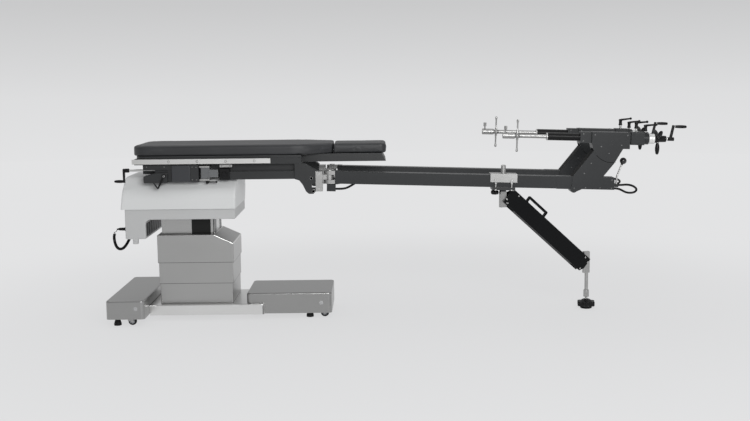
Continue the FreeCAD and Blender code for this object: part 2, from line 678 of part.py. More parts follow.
def make_column_covers():
    left, right, half = d.lower_cover_left, d.lower_cover_right, d.lower_cover_half
    node("column_lower_cover", open_tube(
        "lower_tube", (left, right), half, (d.chassis_top, d.lower_cover_top), d.column_wall))
    left, right, half = left - d.column_step, right + d.column_step, half + d.column_step
    tube = open_tube("middle_tube", (left, right), half,
                     (d.middle_cover_bottom, d.middle_cover_top), d.column_wall)
    wiper = open_tube("middle_wiper", (left, right), half,
                      (d.middle_cover_bottom, d.middle_cover_bottom + d.wiper_height),
                      d.column_step - d.running_gap)
    node("column_middle_cover", fuse("middle_cover", tube, wiper))
    left, right, half = left - d.upper_cover_step, right + d.upper_cover_step, half + d.column_step
    fall = (d.roof_top - d.roof_shoulder) / (right - d.roof_break)
    roof = [(left, d.upper_cover_bottom), (left, d.roof_top), (d.roof_break, d.roof_top),
            (right, d.roof_shoulder), (right, d.upper_cover_bottom)]
    wall = d.column_wall
    lid = d.roof_top - wall
    inner_break = d.roof_break - wall * fall / 2
    inner_shoulder = lid - fall * (right - wall - inner_break)
    inside = [(left + wall, d.upper_cover_bottom), (left + wall, lid), (inner_break, lid),
              (right - wall, inner_shoulder), (right - wall, d.upper_cover_bottom)]
    outer = slab("upper_outer", "XZ_Plane", roof, -half, half)
    inner = slab("upper_inner", "XZ_Plane", inside, -(half - wall), half - wall)
    mast = half_box("roof_hole", (mast_left, mast_right), d.mast_half_depth,
                    (d.upper_cover_bottom, d.roof_top))
    node("column_upper_cover", cut("upper_shell", outer, inner, mast))


def make_lift_column():
    """The mast that the jack pushes up, with the ears of the tilt joint on its head."""
    outer = half_box("mast_outer", (mast_left, mast_right), d.mast_half_depth,
                     (d.mast_bottom, d.mast_top))
    wall = d.mast_wall
    inner = half_box("mast_inner", (mast_left + wall, mast_right - wall),
                     d.mast_half_depth - wall, (d.mast_bottom, d.mast_top - wall))
    pieces = [cut("mast_tube", outer, inner)]
    jack_rod = (d.jack_rod_bottom, d.mast_top - wall)
    pieces.append(rod("jack_rod", "z", (d.column_middle, 0), jack_rod, d.jack_rod_radius))
    ears = (d.column_middle - d.ear_half, d.column_middle + d.ear_half)
    bore = d.trunnion_radius + d.running_gap
    for side in (NEAR, FAR):
        ys = mirrored_span(side, d.ear_inner, d.ear_inner + d.ear_wall)
        ear = box("ear", ears, ys, (d.mast_top, d.ear_top))
        pin = rod("ear_bore", "y", (d.column_middle, d.tilt_height), ys, bore)
        pieces.append(cut("ear_bored", ear, pin))
    node("lift_column", fuse("lift_column", *pieces))


def make_tilt_cross():
    """The cross of the universal joint: one axle across, one axle lengthwise."""
    middle = (d.column_middle, d.tilt_height)
    block = half_box("cross_block",
                     (d.column_middle - d.cross_half, d.column_middle + d.cross_half),
                     d.cross_half_depth,
                     (d.tilt_height - d.cross_half_height, d.tilt_height + d.cross_half_height))
    reach = d.ear_inner + d.ear_wall
    across = rod("across_axle", "y", middle, (-reach, reach), d.trunnion_radius)
    long_reach = d.saddle_gap + d.saddle_wall
    lengthwise = rod("long_axle", "x", (0, d.tilt_height),
                     (d.column_middle - long_reach, d.column_middle + long_reach),
                     d.trunnion_radius)
    node("tilt_cross", fuse("tilt_cross", block, across, lengthwise))


# Column head housing

def housing_solid(name, inset):
    """The drum-like upper housing, or its inside when it is inset by the wall."""
    half = d.housing_half - inset
    top = d.housing_top - inset
    flat = d.housing_top_half
    seam = d.housing_seam
    section = [(-half, seam), (-half, d.housing_shoulder), (-flat, top), (flat, top),
               (half, d.housing_shoulder), (half, seam)]
    left, right = d.housing_left + inset, d.housing_right - inset
    left_top, right_top = d.housing_left_top + inset, d.housing_right_top - inset
    across = slab(name + "_section", "YZ_Plane", section, d.housing_left, d.housing_right_top)
    lows = (d.housing_seam.value + TINY, d.housing_left.value)
    round_edges(across, d.housing_round,
                lambda a, b: runs_along("x", a, b) and a.z > lows[0])
    side = [(left, seam), (left_top, top), (right_top, top), (right, seam)]
    lengthwise = slab(name + "_side", "XZ_Plane", side, -d.housing_half, d.housing_half)
    round_edges(lengthwise, d.housing_end_round,
                lambda a, b: runs_along("y", a, b) and a.z > lows[0])
    return common(name, across, lengthwise)


def post_places():
    for x_side in (-1, 1):
        for y_side in (-1, 1):
            yield d.column_middle + d.post_reach * x_side, d.post_half_spread * y_side


def make_housing():
    outer = housing_solid("housing_outer", as_size(0))
    inner = housing_solid("housing_inner", d.housing_wall)
    holes = [rod("post_hole", "z", place, (d.housing_top - d.housing_round, d.housing_top),
                 d.post_radius + d.sliding_gap) for place in post_places()]
    node("housing_upper_cover", cut("housing_upper", outer, inner, *holes))
    wall = d.tub_wall
    left, right, leg, seam = d.tub_left, d.tub_right, d.tub_leg_right, d.housing_seam
    rim = [(left, seam), (left, d.tub_leg_bottom), (leg, d.tub_leg_bottom),
           (leg, d.tub_bottom), (right, d.tub_bottom), (right, seam)]
    inside = [(left + wall, seam), (left + wall, d.tub_leg_bottom + wall),
              (leg - wall, d.tub_leg_bottom + wall), (leg - wall, d.tub_bottom + wall),
              (right - wall, d.tub_bottom + wall), (right - wall, seam)]
    half = d.tub_half
    outer = slab("tub_outer", "XZ_Plane", rim, -half, half)
    round_edges(outer, d.tub_arch_radius, lambda a, b: runs_along("y", a, b)
                and at(a, "x", leg) and at(a, "z", d.tub_bottom))
    inner = slab("tub_inner", "XZ_Plane", inside, -(half - wall), half - wall)
    round_edges(inner, d.tub_arch_radius, lambda a, b: runs_along("y", a, b)
                and at(a, "x", leg - wall) and at(a, "z", d.tub_bottom + wall))
    opening = half_box("tub_opening", (mast_left - d.tub_opening_gap,
                       mast_right + d.tub_opening_gap),
                       d.mast_half_depth + d.tub_opening_side_gap,
                       (d.tub_bottom, d.tub_bottom + wall))
    shell = cut("tub_shell", outer, inner, opening)
    stop = d.tub_stop_size
    stop_block = box("tub_stop", (d.tub_stop_left, d.tub_stop_left + stop),
                     (-half, stop - half), (d.tub_leg_bottom - stop, d.tub_leg_bottom))
    socket = rod("socket", "x", (d.socket_side, d.socket_height),
                 (left - d.socket_length, left), d.socket_radius)
    holder_xs = (left - d.holder_wall, left)
    holder = box("holder", holder_xs, (d.pendant_side - d.pendant_half,
                 d.pendant_side + d.pendant_half),
                 (d.pendant_bottom, d.pendant_bottom + d.pendant_height / 2))
    node("housing_lower_cover", fuse("housing_lower", shell, stop_block, socket, holder))


# Hand control on the head end of the housing

def make_pendant():
    """The hand control in its holder, and the curly cord from its socket."""
    right = d.tub_left - d.holder_wall
    left = right - d.pendant_depth
    ys = (d.pendant_side - d.pendant_half, d.pendant_side + d.pendant_half)
    body = doc.addObject("PartDesign::Body", "pendant")
    pad = body.newObject("PartDesign::Pad", "pendant_pad")
    plan = [(left, ys[0]), (right, ys[0]), (right, ys[1]), (left, ys[1])]
    pad.Profile = outline(body, "XY_Plane", plan, d.pendant_bottom)
    bind(pad, "Length", d.pendant_height)
    body.Tip = pad
    round_edges(body, d.pendant_round, lambda a, b: runs_along("z", a, b)
                and at(a, "x", left))
    node("pendant", body)


LEAD_POINTS = [(-1644, -200, 552), (-1664, -200, 552), (-1681, -199, 536)]
CURL_POINTS = [(-1681, -199, 536), (-1691, -198, 510), (-1690, -190, 474), (-1684, -172, 440),
               (-1675, -142, 422), (-1664, -104, 418), (-1653, -66, 430), (-1643, -32, 454),
               (-1635, -4, 480), (-1630, 19, 508), (-1627, 28, 536.5)]


def make_pendant_cord():
    """The cord of the hand control: a thin lead, then its curly length as one fat tube."""
    item = doc.addObject("Part::Feature", "pendant_cord")
    lead = route_tube("pendant lead", LEAD_POINTS, sheet.get("lead_radius"))
    curl = route_tube("pendant curl", CURL_POINTS, sheet.get("curl_radius"))
    item.Shape = Part.makeCompound([lead, curl])
    item.Placement = Placement()
    node("pendant_cord", item)


# Table frame, panels, rails and pads

def make_table_frame():
    """The welded frame on the tilt joint, with the brackets that carry the spars."""
    pieces = []
    middle = d.column_middle
    web = [(d.frame_left, d.frame_top), (d.frame_left, d.frame_bottom),
           (d.bar_right, d.frame_bottom), (d.bar_right, d.frame_top)]
    hook_left = d.bar_right - d.tray_lip
    tip = d.hinge_plate_left
    low = d.hinge_plate_bottom
    bracket = [(hook_left, d.frame_top), (hook_left, d.bar_bottom),
               (tip - d.claw_heel, d.bar_bottom - d.claw_step),
               (tip - d.claw_back, low + d.claw_back_rise), (tip - d.claw_toe, low),
               (tip - d.claw_sole, low - d.claw_drop), (tip - d.claw_drop, low - d.claw_drop),
               (tip, low), (tip, low + d.claw_lip),
               (tip - d.claw_mouth, low + d.claw_lip), (tip - d.claw_mouth, low + d.claw_back_rise),
               (tip, low + d.claw_back_rise + d.claw_drop),
               (tip, d.hinge_plate_top + d.claw_step), (tip - d.claw_shoulder, d.frame_top)]
    for side in (NEAR, FAR):
        low_y, high_y = mirrored_span(side, d.web_inner, d.web_inner + d.web_wall)
        pieces.append(slab("web", "XZ_Plane", web, low_y, high_y))
        ys = mirrored_span(side, d.web_inner + d.web_wall, d.web_inner + d.web_wall + d.bar_wall)
        pieces.append(box("side_bar", (d.bar_left, d.bar_right), ys, (d.bar_bottom, d.bar_top)))
        ys = mirrored_span(side, d.web_inner, d.bracket_outer)
        pieces.append(box("bar_link", (d.housing_right_top + d.bar_wall, d.bar_right),
                          mirrored_span(side, d.web_inner, d.web_inner + d.web_wall),
                          (d.bar_bottom, d.frame_bottom)))
        pieces.append(slab("bracket", "XZ_Plane", bracket, *ys))
        ys = mirrored_span(side, d.web_inner, d.tray_half)
        tray = (d.tray_left, d.tray_right)
        flange = (d.frame_top, d.frame_top + d.tray_flange)
        pieces.append(box("tray_flange", tray, ys, flange))
        ys = mirrored_span(side, d.tray_half - d.tray_lip, d.tray_half)
        pieces.append(box("tray_lip", tray, ys, (d.frame_top, d.tray_top)))
    lip_heights = (d.frame_top, d.tray_top)
    head_lip = (d.tray_left, d.tray_left + d.tray_lip)
    pieces.append(half_box("head_lip", head_lip, d.tray_half, lip_heights))
    foot_lip = (d.tray_right - d.tray_lip, d.tray_right)
    pieces.append(half_box("foot_lip", foot_lip, d.tray_half, (d.frame_top, d.board_bottom)))
    tube_heights = (d.cross_tube_bottom, d.cross_tube_top)
    places = [middle - d.post_reach, middle + d.post_reach, (middle + d.bar_right) / 2,
              d.bar_right - d.cross_tube_half * 4]
    for place in places:
        tube = (place - d.cross_tube_half, place + d.cross_tube_half)
        pieces.append(half_box("cross_tube", tube, d.web_inner, tube_heights))
    for x, y in post_places():
        post = (d.saddle_plate_top, d.cross_tube_bottom)
        pieces.append(rod("post", "z", (x, y), post, d.post_radius))
    plate = (middle - d.saddle_plate_half, middle + d.saddle_plate_half)
    plate_heights = (d.saddle_plate_bottom, d.saddle_plate_top)
    pieces.append(half_box("saddle_plate", plate, d.saddle_plate_half_depth, plate_heights))
    bore = d.trunnion_radius + d.running_gap
    for side in (-1, 1):
        near_x, far_x = mirrored_span(side, d.saddle_gap, d.saddle_gap + d.saddle_wall)
        xs = (middle + near_x, middle + far_x)
        cheek = half_box("saddle_cheek", xs, d.saddle_half_depth,
                         (d.saddle_bottom, d.saddle_plate_bottom))
        pin = rod("saddle_bore", "x", (0, d.tilt_height), xs, bore)
        pieces.append(cut("saddle_bored", cheek, pin))
    node("table_frame", fuse("table_weld", *pieces))


def make_panels():
    """The flat panel under the main pad and the narrow board under the seat pad."""
    half = d.tray_half - d.panel_margin
    left = d.tray_left + d.panel_margin
    panel = slab("wide_panel", "XY_Plane", corners_plan(left, d.tray_right, half),
                 d.tray_top, d.panel_top)
    round_edges(panel, d.panel_corner,
                lambda a, b: runs_along("z", a, b) and at(a, "x", left))
    start = d.tray_right - d.tray_lip
    side = [(start, d.board_bottom), (d.board_right_bottom, d.board_bottom),
            (d.board_right_top, d.board_top), (d.tray_right, d.board_top),
            (d.tray_right, d.tray_top), (start, d.tray_top)]
    board = slab("narrow_board", "XZ_Plane", side, -d.board_half, d.board_half)
    node("table_panels", group("panels", panel, board))


def make_side_rails():
    """A standard accessory rail on each side, on spacers, with its bolts."""
    pieces = []
    right = d.rail_left + d.rail_length
    heights = (d.rail_middle - d.rail_height / 2, d.rail_middle + d.rail_height / 2)
    for side in (NEAR, FAR):
        ys = mirrored_span(side, d.rail_outer - d.rail_wall, d.rail_outer)
        parts = [box("rail", (d.rail_left, right), ys, heights)]
        bolts = []
        for number in range(4):
            x = d.rail_left + d.rail_first_bolt + d.rail_bolt_pitch * number
            ys = mirrored_span(side, d.tray_half, d.rail_outer - d.rail_wall)
            parts.append(rod("rail_spacer", "y", (x, d.rail_middle), ys, d.rail_spacer_radius))
            ys = mirrored_span(side, d.rail_outer, d.rail_outer + d.rail_bolt_head)
            bolts.append(rod("rail_bolt", "y", (x, d.rail_middle), ys, d.rail_bolt_radius))
        pieces.append(fuse("rail_with_spacers", *parts))
        pieces.extend(bolts)
    node("side_rails", group("rails", *pieces))


def make_pads():
    neck = d.pad_neck_half
    plan = [(d.pad_left, -d.pad_half), (d.pad_neck_start, -d.pad_half), (d.pad_right, -neck),
            (d.pad_right, neck), (d.pad_neck_start, d.pad_half), (d.pad_left, d.pad_half)]
    pad = slab("main_cushion", "XY_Plane", plan, d.pad_bottom, d.pad_top)
    round_edges(pad, d.pad_head_corner, lambda a, b: runs_along("z", a, b)
                and (at(a, "x", d.pad_left) or at(a, "x", d.pad_neck_start)))
    round_edges(pad, d.pad_round, lambda a, b: at(a, "z", d.pad_top) and at(b, "z", d.pad_top))
    node("main_pad", pad)
    left = d.pad_right + d.pad_seam_gap
    plan = corners_plan(left, d.seat_pad_right, neck)
    pad = slab("seat_cushion", "XY_Plane", plan, d.pad_bottom, d.seat_pad_top)
    round_edges(pad, d.seat_pad_corner, lambda a, b: runs_along("z", a, b)
                and at(a, "x", d.seat_pad_right))
    round_edges(pad, d.pad_round,
                lambda a, b: at(a, "z", d.seat_pad_top) and at(b, "z", d.seat_pad_top))
    node("seat_pad", pad)


# Tilt gearbox, its crank and lock, and the clamp beside it

def make_tilt_gear():
    back = -(d.web_inner + d.web_wall)
    shaft = (-d.crank_side, d.crank_height)
    bore = rod("crank_bore", "x", shaft, (d.gear_left, d.motor_left),
               d.crank_shaft_radius + d.running_gap)
    block = box("gear_block", (d.gear_left, d.motor_left), (-d.gear_block_front, back),
                (d.gear_block_bottom, d.gear_block_top))
    case = [(d.gear_case_left, d.gear_case_bottom), (d.gear_case_right, d.gear_case_bottom),
            (d.gear_case_right, d.gear_slope_top),
            (d.gear_slope_middle, d.gear_slope_top - d.gear_slope_fall),
            (d.gear_case_left, d.gear_slope_left)]
    case = slab("gear_case", "XZ_Plane", case, -d.gear_front, back)
    round_edges(case, d.motor_round, lambda a, b: runs_along("y", a, b))
    neck = box("gear_neck", (d.gear_slope_middle, d.motor_left), (-d.gear_block_front, back),
               (d.motor_bottom, d.gear_block_top))
    stop = box("stop_block", (d.motor_right, d.stop_block_right), (-d.stop_block_front, back),
               (d.motor_bottom, d.gear_block_top))
    bridge = box("motor_bridge", (d.motor_left, d.motor_right), (back - d.web_wall / 2, back),
                 (d.motor_bottom, d.gear_block_top))
    lever_bore = rod("lever_bore", "y", (d.lock_lever_x, d.lock_lever_height),
                     (-d.gear_front, back - d.web_wall / 2),
                     d.crank_shaft_radius + d.running_gap)
    weld = fuse("gear_weld", block, case, neck, stop, bridge)
    cover = slab("motor_block", "XZ_Plane",
                 [(d.motor_left, d.motor_bottom), (d.motor_right, d.motor_bottom),
                  (d.motor_right, d.gear_block_top), (d.motor_left, d.gear_block_top)],
                 -d.motor_front, back - d.web_wall / 2)
    round_edges(cover, d.motor_round,
                lambda a, b: at(a, "y", -d.motor_front) and at(b, "y", -d.motor_front))
    bored = cut("gear_bored", weld, bore, lever_bore)
    node("tilt_gearbox", group("gearbox", bored, cover))
    pieces = [rod("crank_shaft", "x", shaft, (d.crank_shaft_left, d.gear_slope_middle),
                  d.crank_shaft_radius)]
    hub_left = d.crank_shaft_left - d.crank_hub_length
    pieces.append(rod("crank_hub", "x", shaft, (hub_left, d.crank_shaft_left),
                      d.crank_hub_radius))
    arm = (hub_left, hub_left + d.crank_arm_wall)
    grip_height = d.crank_height - d.crank_throw
    pieces.append(box("crank_arm", arm, (-d.crank_side - d.crank_arm_half,
                      d.crank_arm_half - d.crank_side), (grip_height, d.crank_height)))
    pieces.append(rod("crank_arm_end", "x", (-d.crank_side, grip_height), arm,
                      d.crank_arm_half))
    grip = d.crank_grip_radius
    length = d.crank_grip_length
    profile = [(0, 0), (0, grip * 0.7), (length * 0.3, grip), (length * 0.8, grip * 0.8),
               (length, grip * 0.5), (length, 0)]
    pieces.append(lathe("crank_grip", "x", (hub_left - length, -d.crank_side, grip_height),
                        profile))
    node("tilt_crank", fuse("crank_weld", *pieces))


def make_tilt_lock():
    """The lever on the front of the gearbox that locks the tilt."""
    x, z = d.lock_lever_x, d.lock_lever_height
    front = (-(d.gear_front + d.sliding_gap + d.lock_lever_wall),
             -(d.gear_front + d.sliding_gap))
    pieces = [rod("lever_hub", "y", (x, z), front, d.lock_lever_hub)]
    pin = (-(d.gear_front + d.sliding_gap), -(d.web_inner + d.web_wall * 2))
    pieces.append(rod("lever_pin", "y", (x, z), pin, d.crank_shaft_radius))
    tip_x, tip_z = x + d.lock_lever_drop, z - d.lock_lever_reach
    width = d.lock_lever_hub * 0.7
    arm = [(x - width, z), (tip_x - width / 2, tip_z), (tip_x + width / 2, tip_z),
           (x + width, z)]
    pieces.append(slab("lever_arm", "XZ_Plane", arm, *front))
    spur = [(tip_x - width / 2, tip_z), (tip_x + width / 2, tip_z),
            (tip_x - width * 2, tip_z + d.lock_lever_reach * 0.45),
            (tip_x - width * 3, tip_z + d.lock_lever_reach * 0.45)]
    pieces.append(slab("lever_spur", "XZ_Plane", spur, *front))
    node("tilt_lock_lever", fuse("lock_lever_weld", *pieces))


def make_side_clamp():
    """The bright clamp and latch beside the gearbox, and the small lever that turns in it."""
    back = -(d.web_inner + d.web_wall)
    bar = d.clamp_bar
    upper = box("clamp_upper", (d.clamp_left, d.clamp_right), (-d.clamp_front, back),
                (d.clamp_top - bar, d.clamp_top))
    lower = box("clamp_lower", (d.clamp_left, d.clamp_right), (-d.clamp_front, back),
                (d.clamp_bottom, d.clamp_bottom + bar))
    block = box("clamp_block", (d.clamp_left + bar, d.clamp_right), (-d.clamp_front + bar, back),
                (d.clamp_bottom, d.clamp_top))
    latch = box("latch_block", (d.clamp_right, d.latch_block_right), (-d.clamp_front, back),
                (d.clamp_block_bottom, d.clamp_block_top))
    screw_y = -d.clamp_front + bar * 1.2
    bore = rod("clamp_bore", "z", (d.clamp_knob_x, screw_y),
               (d.clamp_bottom, d.clamp_bottom + bar * 2), d.spar_wall + d.running_gap)
    node("side_clamp", cut("clamp_bored", fuse("clamp_weld", upper, lower, block, latch), bore))
    place = (d.clamp_knob_x, screw_y)
    hub = rod("clamp_hub", "z", place, (d.clamp_knob_bottom, d.clamp_bottom - d.sliding_gap),
              d.clamp_knob_radius)
    pin = rod("clamp_pin", "z", place, (d.clamp_bottom - d.sliding_gap, d.clamp_bottom + bar),
              d.spar_wall)
    middle = (d.clamp_knob_bottom + d.clamp_bottom) / 2
    arm = rod("clamp_arm", "x", (screw_y, middle),
              (d.clamp_knob_x, d.clamp_knob_x + d.clamp_lever_length), d.lever_arm_radius)
    tip = ball("clamp_tip", (d.clamp_knob_x + d.clamp_lever_length, screw_y, middle),
               d.lever_ball)
    node("side_clamp_lever", fuse("clamp_lever_weld", hub, pin, arm, tip))


# Spars and their hinges

def make_hinge_plates():
    """The bright plates on the frame's brackets, each with the pin that a spar swings on."""
    plates = []
    for side in (NEAR, FAR):
        ys = mirrored_span(side, d.hinge_plate_inner, d.hinge_plate_outer)
        xs = (d.hinge_plate_left, d.hinge_plate_right)
        plate = box("hinge_plate", xs, ys, (d.hinge_plate_bottom, d.hinge_plate_top))
        reach = d.spar_pivot - d.hinge_plate_right + d.clear_gap
        tongue = half_box("tongue_neck", (-reach, 0), d.tongue_radius * 0.8,
                          (-d.tongue_half, d.tongue_half))
        round_end = rod("tongue_end", "z", (0, 0), (-d.tongue_half, d.tongue_half),
                        d.tongue_radius)
        pin_reach = d.yoke_half + d.clear_gap * 4
        pin = rod("hinge_pin", "z", (0, 0), (-pin_reach, pin_reach), d.pin_radius)
        on_pin = on_spar(fuse("tongue", tongue, round_end, pin), side)
        plates.append(fuse("hinge_plate_with_pin", plate, on_pin))
        head = mirrored_span(side, d.bracket_outer, d.hinge_plate_outer)
        for place in ((d.upper_bolt_x, d.upper_bolt_z), (d.lower_bolt_x, d.lower_bolt_z)):
            plates.append(rod("bracket_bolt", "y", place, head, d.bracket_bolt_radius))
    node("spar_hinge_plates", group("hinge_plates", *plates))


def spar_tag(side):
    return "near" if side == NEAR else "far"


def head_disc(name, radius, half):
    """A disc about the pivot of the traction head."""
    return rod(name, "y", (d.head_pivot_x, d.head_pivot_z), (-half, half), radius)


def make_spar(side):
    """A spar: its hinge yoke, hollow tube, end box and the leaning upright."""
    tag = spar_tag(side)
    pieces = []
    half = d.spar_half
    for low, high in ((d.tongue_half + d.sliding_gap, d.yoke_half),
                      (-d.yoke_half, -(d.tongue_half + d.sliding_gap))):
        arm = half_box("yoke_arm", (0, d.yoke_right), d.yoke_radius, (low, high))
        tip = rod("yoke_tip", "z", (0, 0), (low, high), d.yoke_radius)
        bore = rod("yoke_bore", "z", (0, 0), (low, high), d.pin_radius + d.running_gap)
        pieces.append(cut("yoke_bored", fuse("yoke_ear", arm, tip), bore))
    pieces.append(half_box("yoke_back", (d.yoke_back, d.yoke_right), d.spar_half_width,
                           (-d.yoke_half, d.yoke_half)))
    brake = half_box("brake_block", (d.brake_left, d.yoke_back + d.clear_gap * 4),
                     d.brake_half, (-d.brake_bottom, -d.yoke_half))
    pin_hole = rod("brake_hole", "z", (0, 0), (-d.brake_bottom, -d.yoke_half),
                   d.pin_radius + d.sliding_gap)
    pieces.append(cut("brake", brake, pin_hole))
    outer = half_box("spar_outer", (d.spar_start, d.end_box_start), d.spar_half_width,
                     (-half, half))
    inside_end = d.end_box_start - d.spar_wall
    inner = half_box("spar_inner", (d.yoke_right, inside_end),
                     d.spar_half_width - d.spar_wall, (d.spar_wall - half, half - d.spar_wall))
    slot_half = d.cable_radius + d.clear_gap
    slot = half_box("cable_slot", (d.cable_slot_left, d.cable_slot_right), slot_half,
                    (-half, d.spar_wall - half))
    pieces.append(cut("spar_tube", outer, inner, slot))
    grow = d.sleeve_wall
    sleeve = half_box("sleeve_outer", (d.sleeve_start, d.end_box_start),
                      d.spar_half_width + grow, (-half - grow, half + grow))
    hollow = half_box("sleeve_inner", (d.sleeve_start, d.end_box_start),
                      d.spar_half_width, (-half, half))
    pieces.append(cut("sleeve", sleeve, hollow))
    unit = d.unit_half_width
    end_box = slab("end_box", "XZ_Plane",
                   [(d.end_box_start, -half), (d.end_box_end, -half), (d.end_box_end, half),
                    (d.end_box_start, half)], -unit, unit)
    pieces.append(end_box)
    hump = rod("hump", "y", (d.hump_x, -d.hump_drop), (-unit, unit), d.hump_radius)
    wedge = slab("hump_wedge", "XZ_Plane",
                 [(d.end_box_start - d.hump_radius / 2, -half),
                  (d.hump_x, -d.hump_drop - d.hump_radius),
                  (d.hump_x + d.hump_radius * 2.4, -half)], -unit, unit)
    pieces.extend((hump, wedge))
    lean = [(d.end_box_start, half), (d.upright_foot, half),
            (d.upright_right, d.upright_right_height),
            (d.upright_right, d.upright_lean_top), (d.upright_lean_left, d.upright_lean_top)]
    gap = d.sliding_gap
    upright = cut("upright", slab("upright_block", "XZ_Plane", lean, -unit, unit),
                  head_disc("upright_arc", d.head_radius + gap, unit))
    pieces.append(upright)
    for cheek_side in (NEAR, FAR):
        inner_y = d.core_half + d.clear_gap
        outer_y = unit - d.cheek_wall - gap
        ys = mirrored_span(cheek_side, inner_y, outer_y)
        pivot = (d.head_pivot_x, d.head_pivot_z)
        pieces.append(rod("cheek", "y", pivot, ys, d.cheek_radius))
        foot = d.head_pivot_z - d.head_radius - d.cheek_wall
        neck = [(d.head_pivot_x - d.cheek_radius, d.head_pivot_z),
                (d.head_pivot_x - d.cheek_radius * 1.6, foot),
                (d.upright_right - d.cheek_wall * 2, foot),
                (d.head_pivot_x + d.cheek_radius * 0.9, d.head_pivot_z)]
        pieces.append(slab("cheek_neck", "XZ_Plane", neck, *ys))
        ys = mirrored_span(cheek_side, inner_y, unit)
        pieces.append(rod("head_pin", "y", pivot, ys, d.head_pin_radius))
    lug_right = d.release_x + d.release_hub + d.clear_gap * 2
    for ear_side in (NEAR, FAR):
        ys = mirrored_span(ear_side, d.release_hub * 1.1, d.release_hub * 2)
        pieces.append(box("release_ear", (d.end_box_end, lug_right), ys,
                          (d.release_z - d.release_hub, d.release_z + d.release_hub)))
    ys = mirrored_span(-side, d.release_hub * 2, d.release_hub * 2 + d.ferrule_radius * 2)
    pieces.append(box("ferrule_lug", (d.end_box_end, lug_right), ys,
                      (d.release_z - d.release_hub, d.release_z + d.release_hub)))
    node("spar_" + tag, on_spar(fuse("spar_weld_" + tag, *pieces), side))


# Traction unit at the end of each spar

def axis_rod(name, span, radius):
    return rod(name, "x", (0, d.axis_height), span, radius)


def make_traction_head(side):
    """The head that tilts on the upright and carries the traction spindle."""
    tag = spar_tag(side)
    unit = d.unit_half_width
    lid = d.head_top - d.core_lid
    corner = [(d.head_left, d.head_top), (d.head_left, d.head_bottom + d.head_corner_rise),
              (d.head_left + d.head_corner_run, d.head_bottom), (d.head_right, d.head_bottom),
              (d.head_right, d.head_top)]
    upper = slab("head_upper", "XZ_Plane", corner, -unit, unit)
    disc = head_disc("head_disc", d.head_radius, unit)
    reach = d.head_radius + d.cheek_wall
    below = slab("head_below", "XZ_Plane",
                 [(d.head_pivot_x - reach, d.head_top), (d.head_right, d.head_top),
                  (d.head_right, d.head_bottom + d.head_chin_rise), (d.head_chin, d.head_bottom),
                  (d.upright_right, d.upright_right_height),
                  (d.upright_right - d.cheek_wall, d.head_pivot_z - reach),
                  (d.head_pivot_x - reach, d.head_pivot_z - reach)], -unit, unit)
    solid = fuse("head_solid", upper, common("head_round", disc, below))
    wall = d.cheek_wall
    low_bay = half_box("head_low_bay", (d.head_left - reach, d.head_right + reach),
                       unit - wall, (d.head_pivot_z - reach, d.head_bottom))
    bay = half_box("head_bay", (d.head_left + wall, d.head_right - wall), unit - wall,
                   (d.head_bottom, d.core_bottom))
    tools = [low_bay, bay]
    for bay_side in (NEAR, FAR):
        ys = mirrored_span(bay_side, d.core_half, unit - wall)
        tools.append(box("head_side_bay", (d.head_left + wall, d.head_right - wall), ys,
                         (d.core_bottom, lid)))
    tools.append(rod("head_pin_bore", "y", (d.head_pivot_x, d.head_pivot_z), (-unit, unit),
                     d.head_pin_radius + d.running_gap))
    shell = cut("head_shell_" + tag, solid, *tools)
    half = d.front_block_half
    front = half_box("front_block", (d.front_block_left, d.head_left), half,
                     (d.axis_height - half, d.axis_height + half))
    half = d.rear_box_half
    neck = half_box("rear_neck", (d.head_right, d.rear_box_left), d.core_half,
                    (d.axis_height - d.core_half, d.axis_height + d.core_half))
    rear = slab("rear_box", "XZ_Plane",
                [(d.rear_box_left, d.axis_height - half), (d.rear_box_right, d.axis_height - half),
                 (d.rear_box_right, d.axis_height + half),
                 (d.rear_box_left, d.axis_height + half)], -half, half)
    round_edges(rear, d.motor_round, lambda a, b: runs_along("x", a, b))
    collar = axis_rod("collar", (d.rear_box_right, d.collar_right), d.collar_radius)
    way = axis_rod("spindle_way", (d.front_block_left, d.collar_right),
                   d.tube_radius + d.running_gap)
    pieces = [shell, front, neck, rear, collar]
    bores = [way]
    for x, top in ((d.first_lever_x, half), (d.second_lever_x, d.collar_radius)):
        top = d.axis_height + top
        bores.append(rod("lever_way", "z", (x, 0), (top - d.lever_hub_radius, top),
                         d.lever_arm_radius + d.running_gap))
    weld = cut("head_weld_" + tag, fuse("head_pieces", *pieces), *bores)
    node("traction_head_" + tag, on_spar(group("head_" + tag, weld), side))


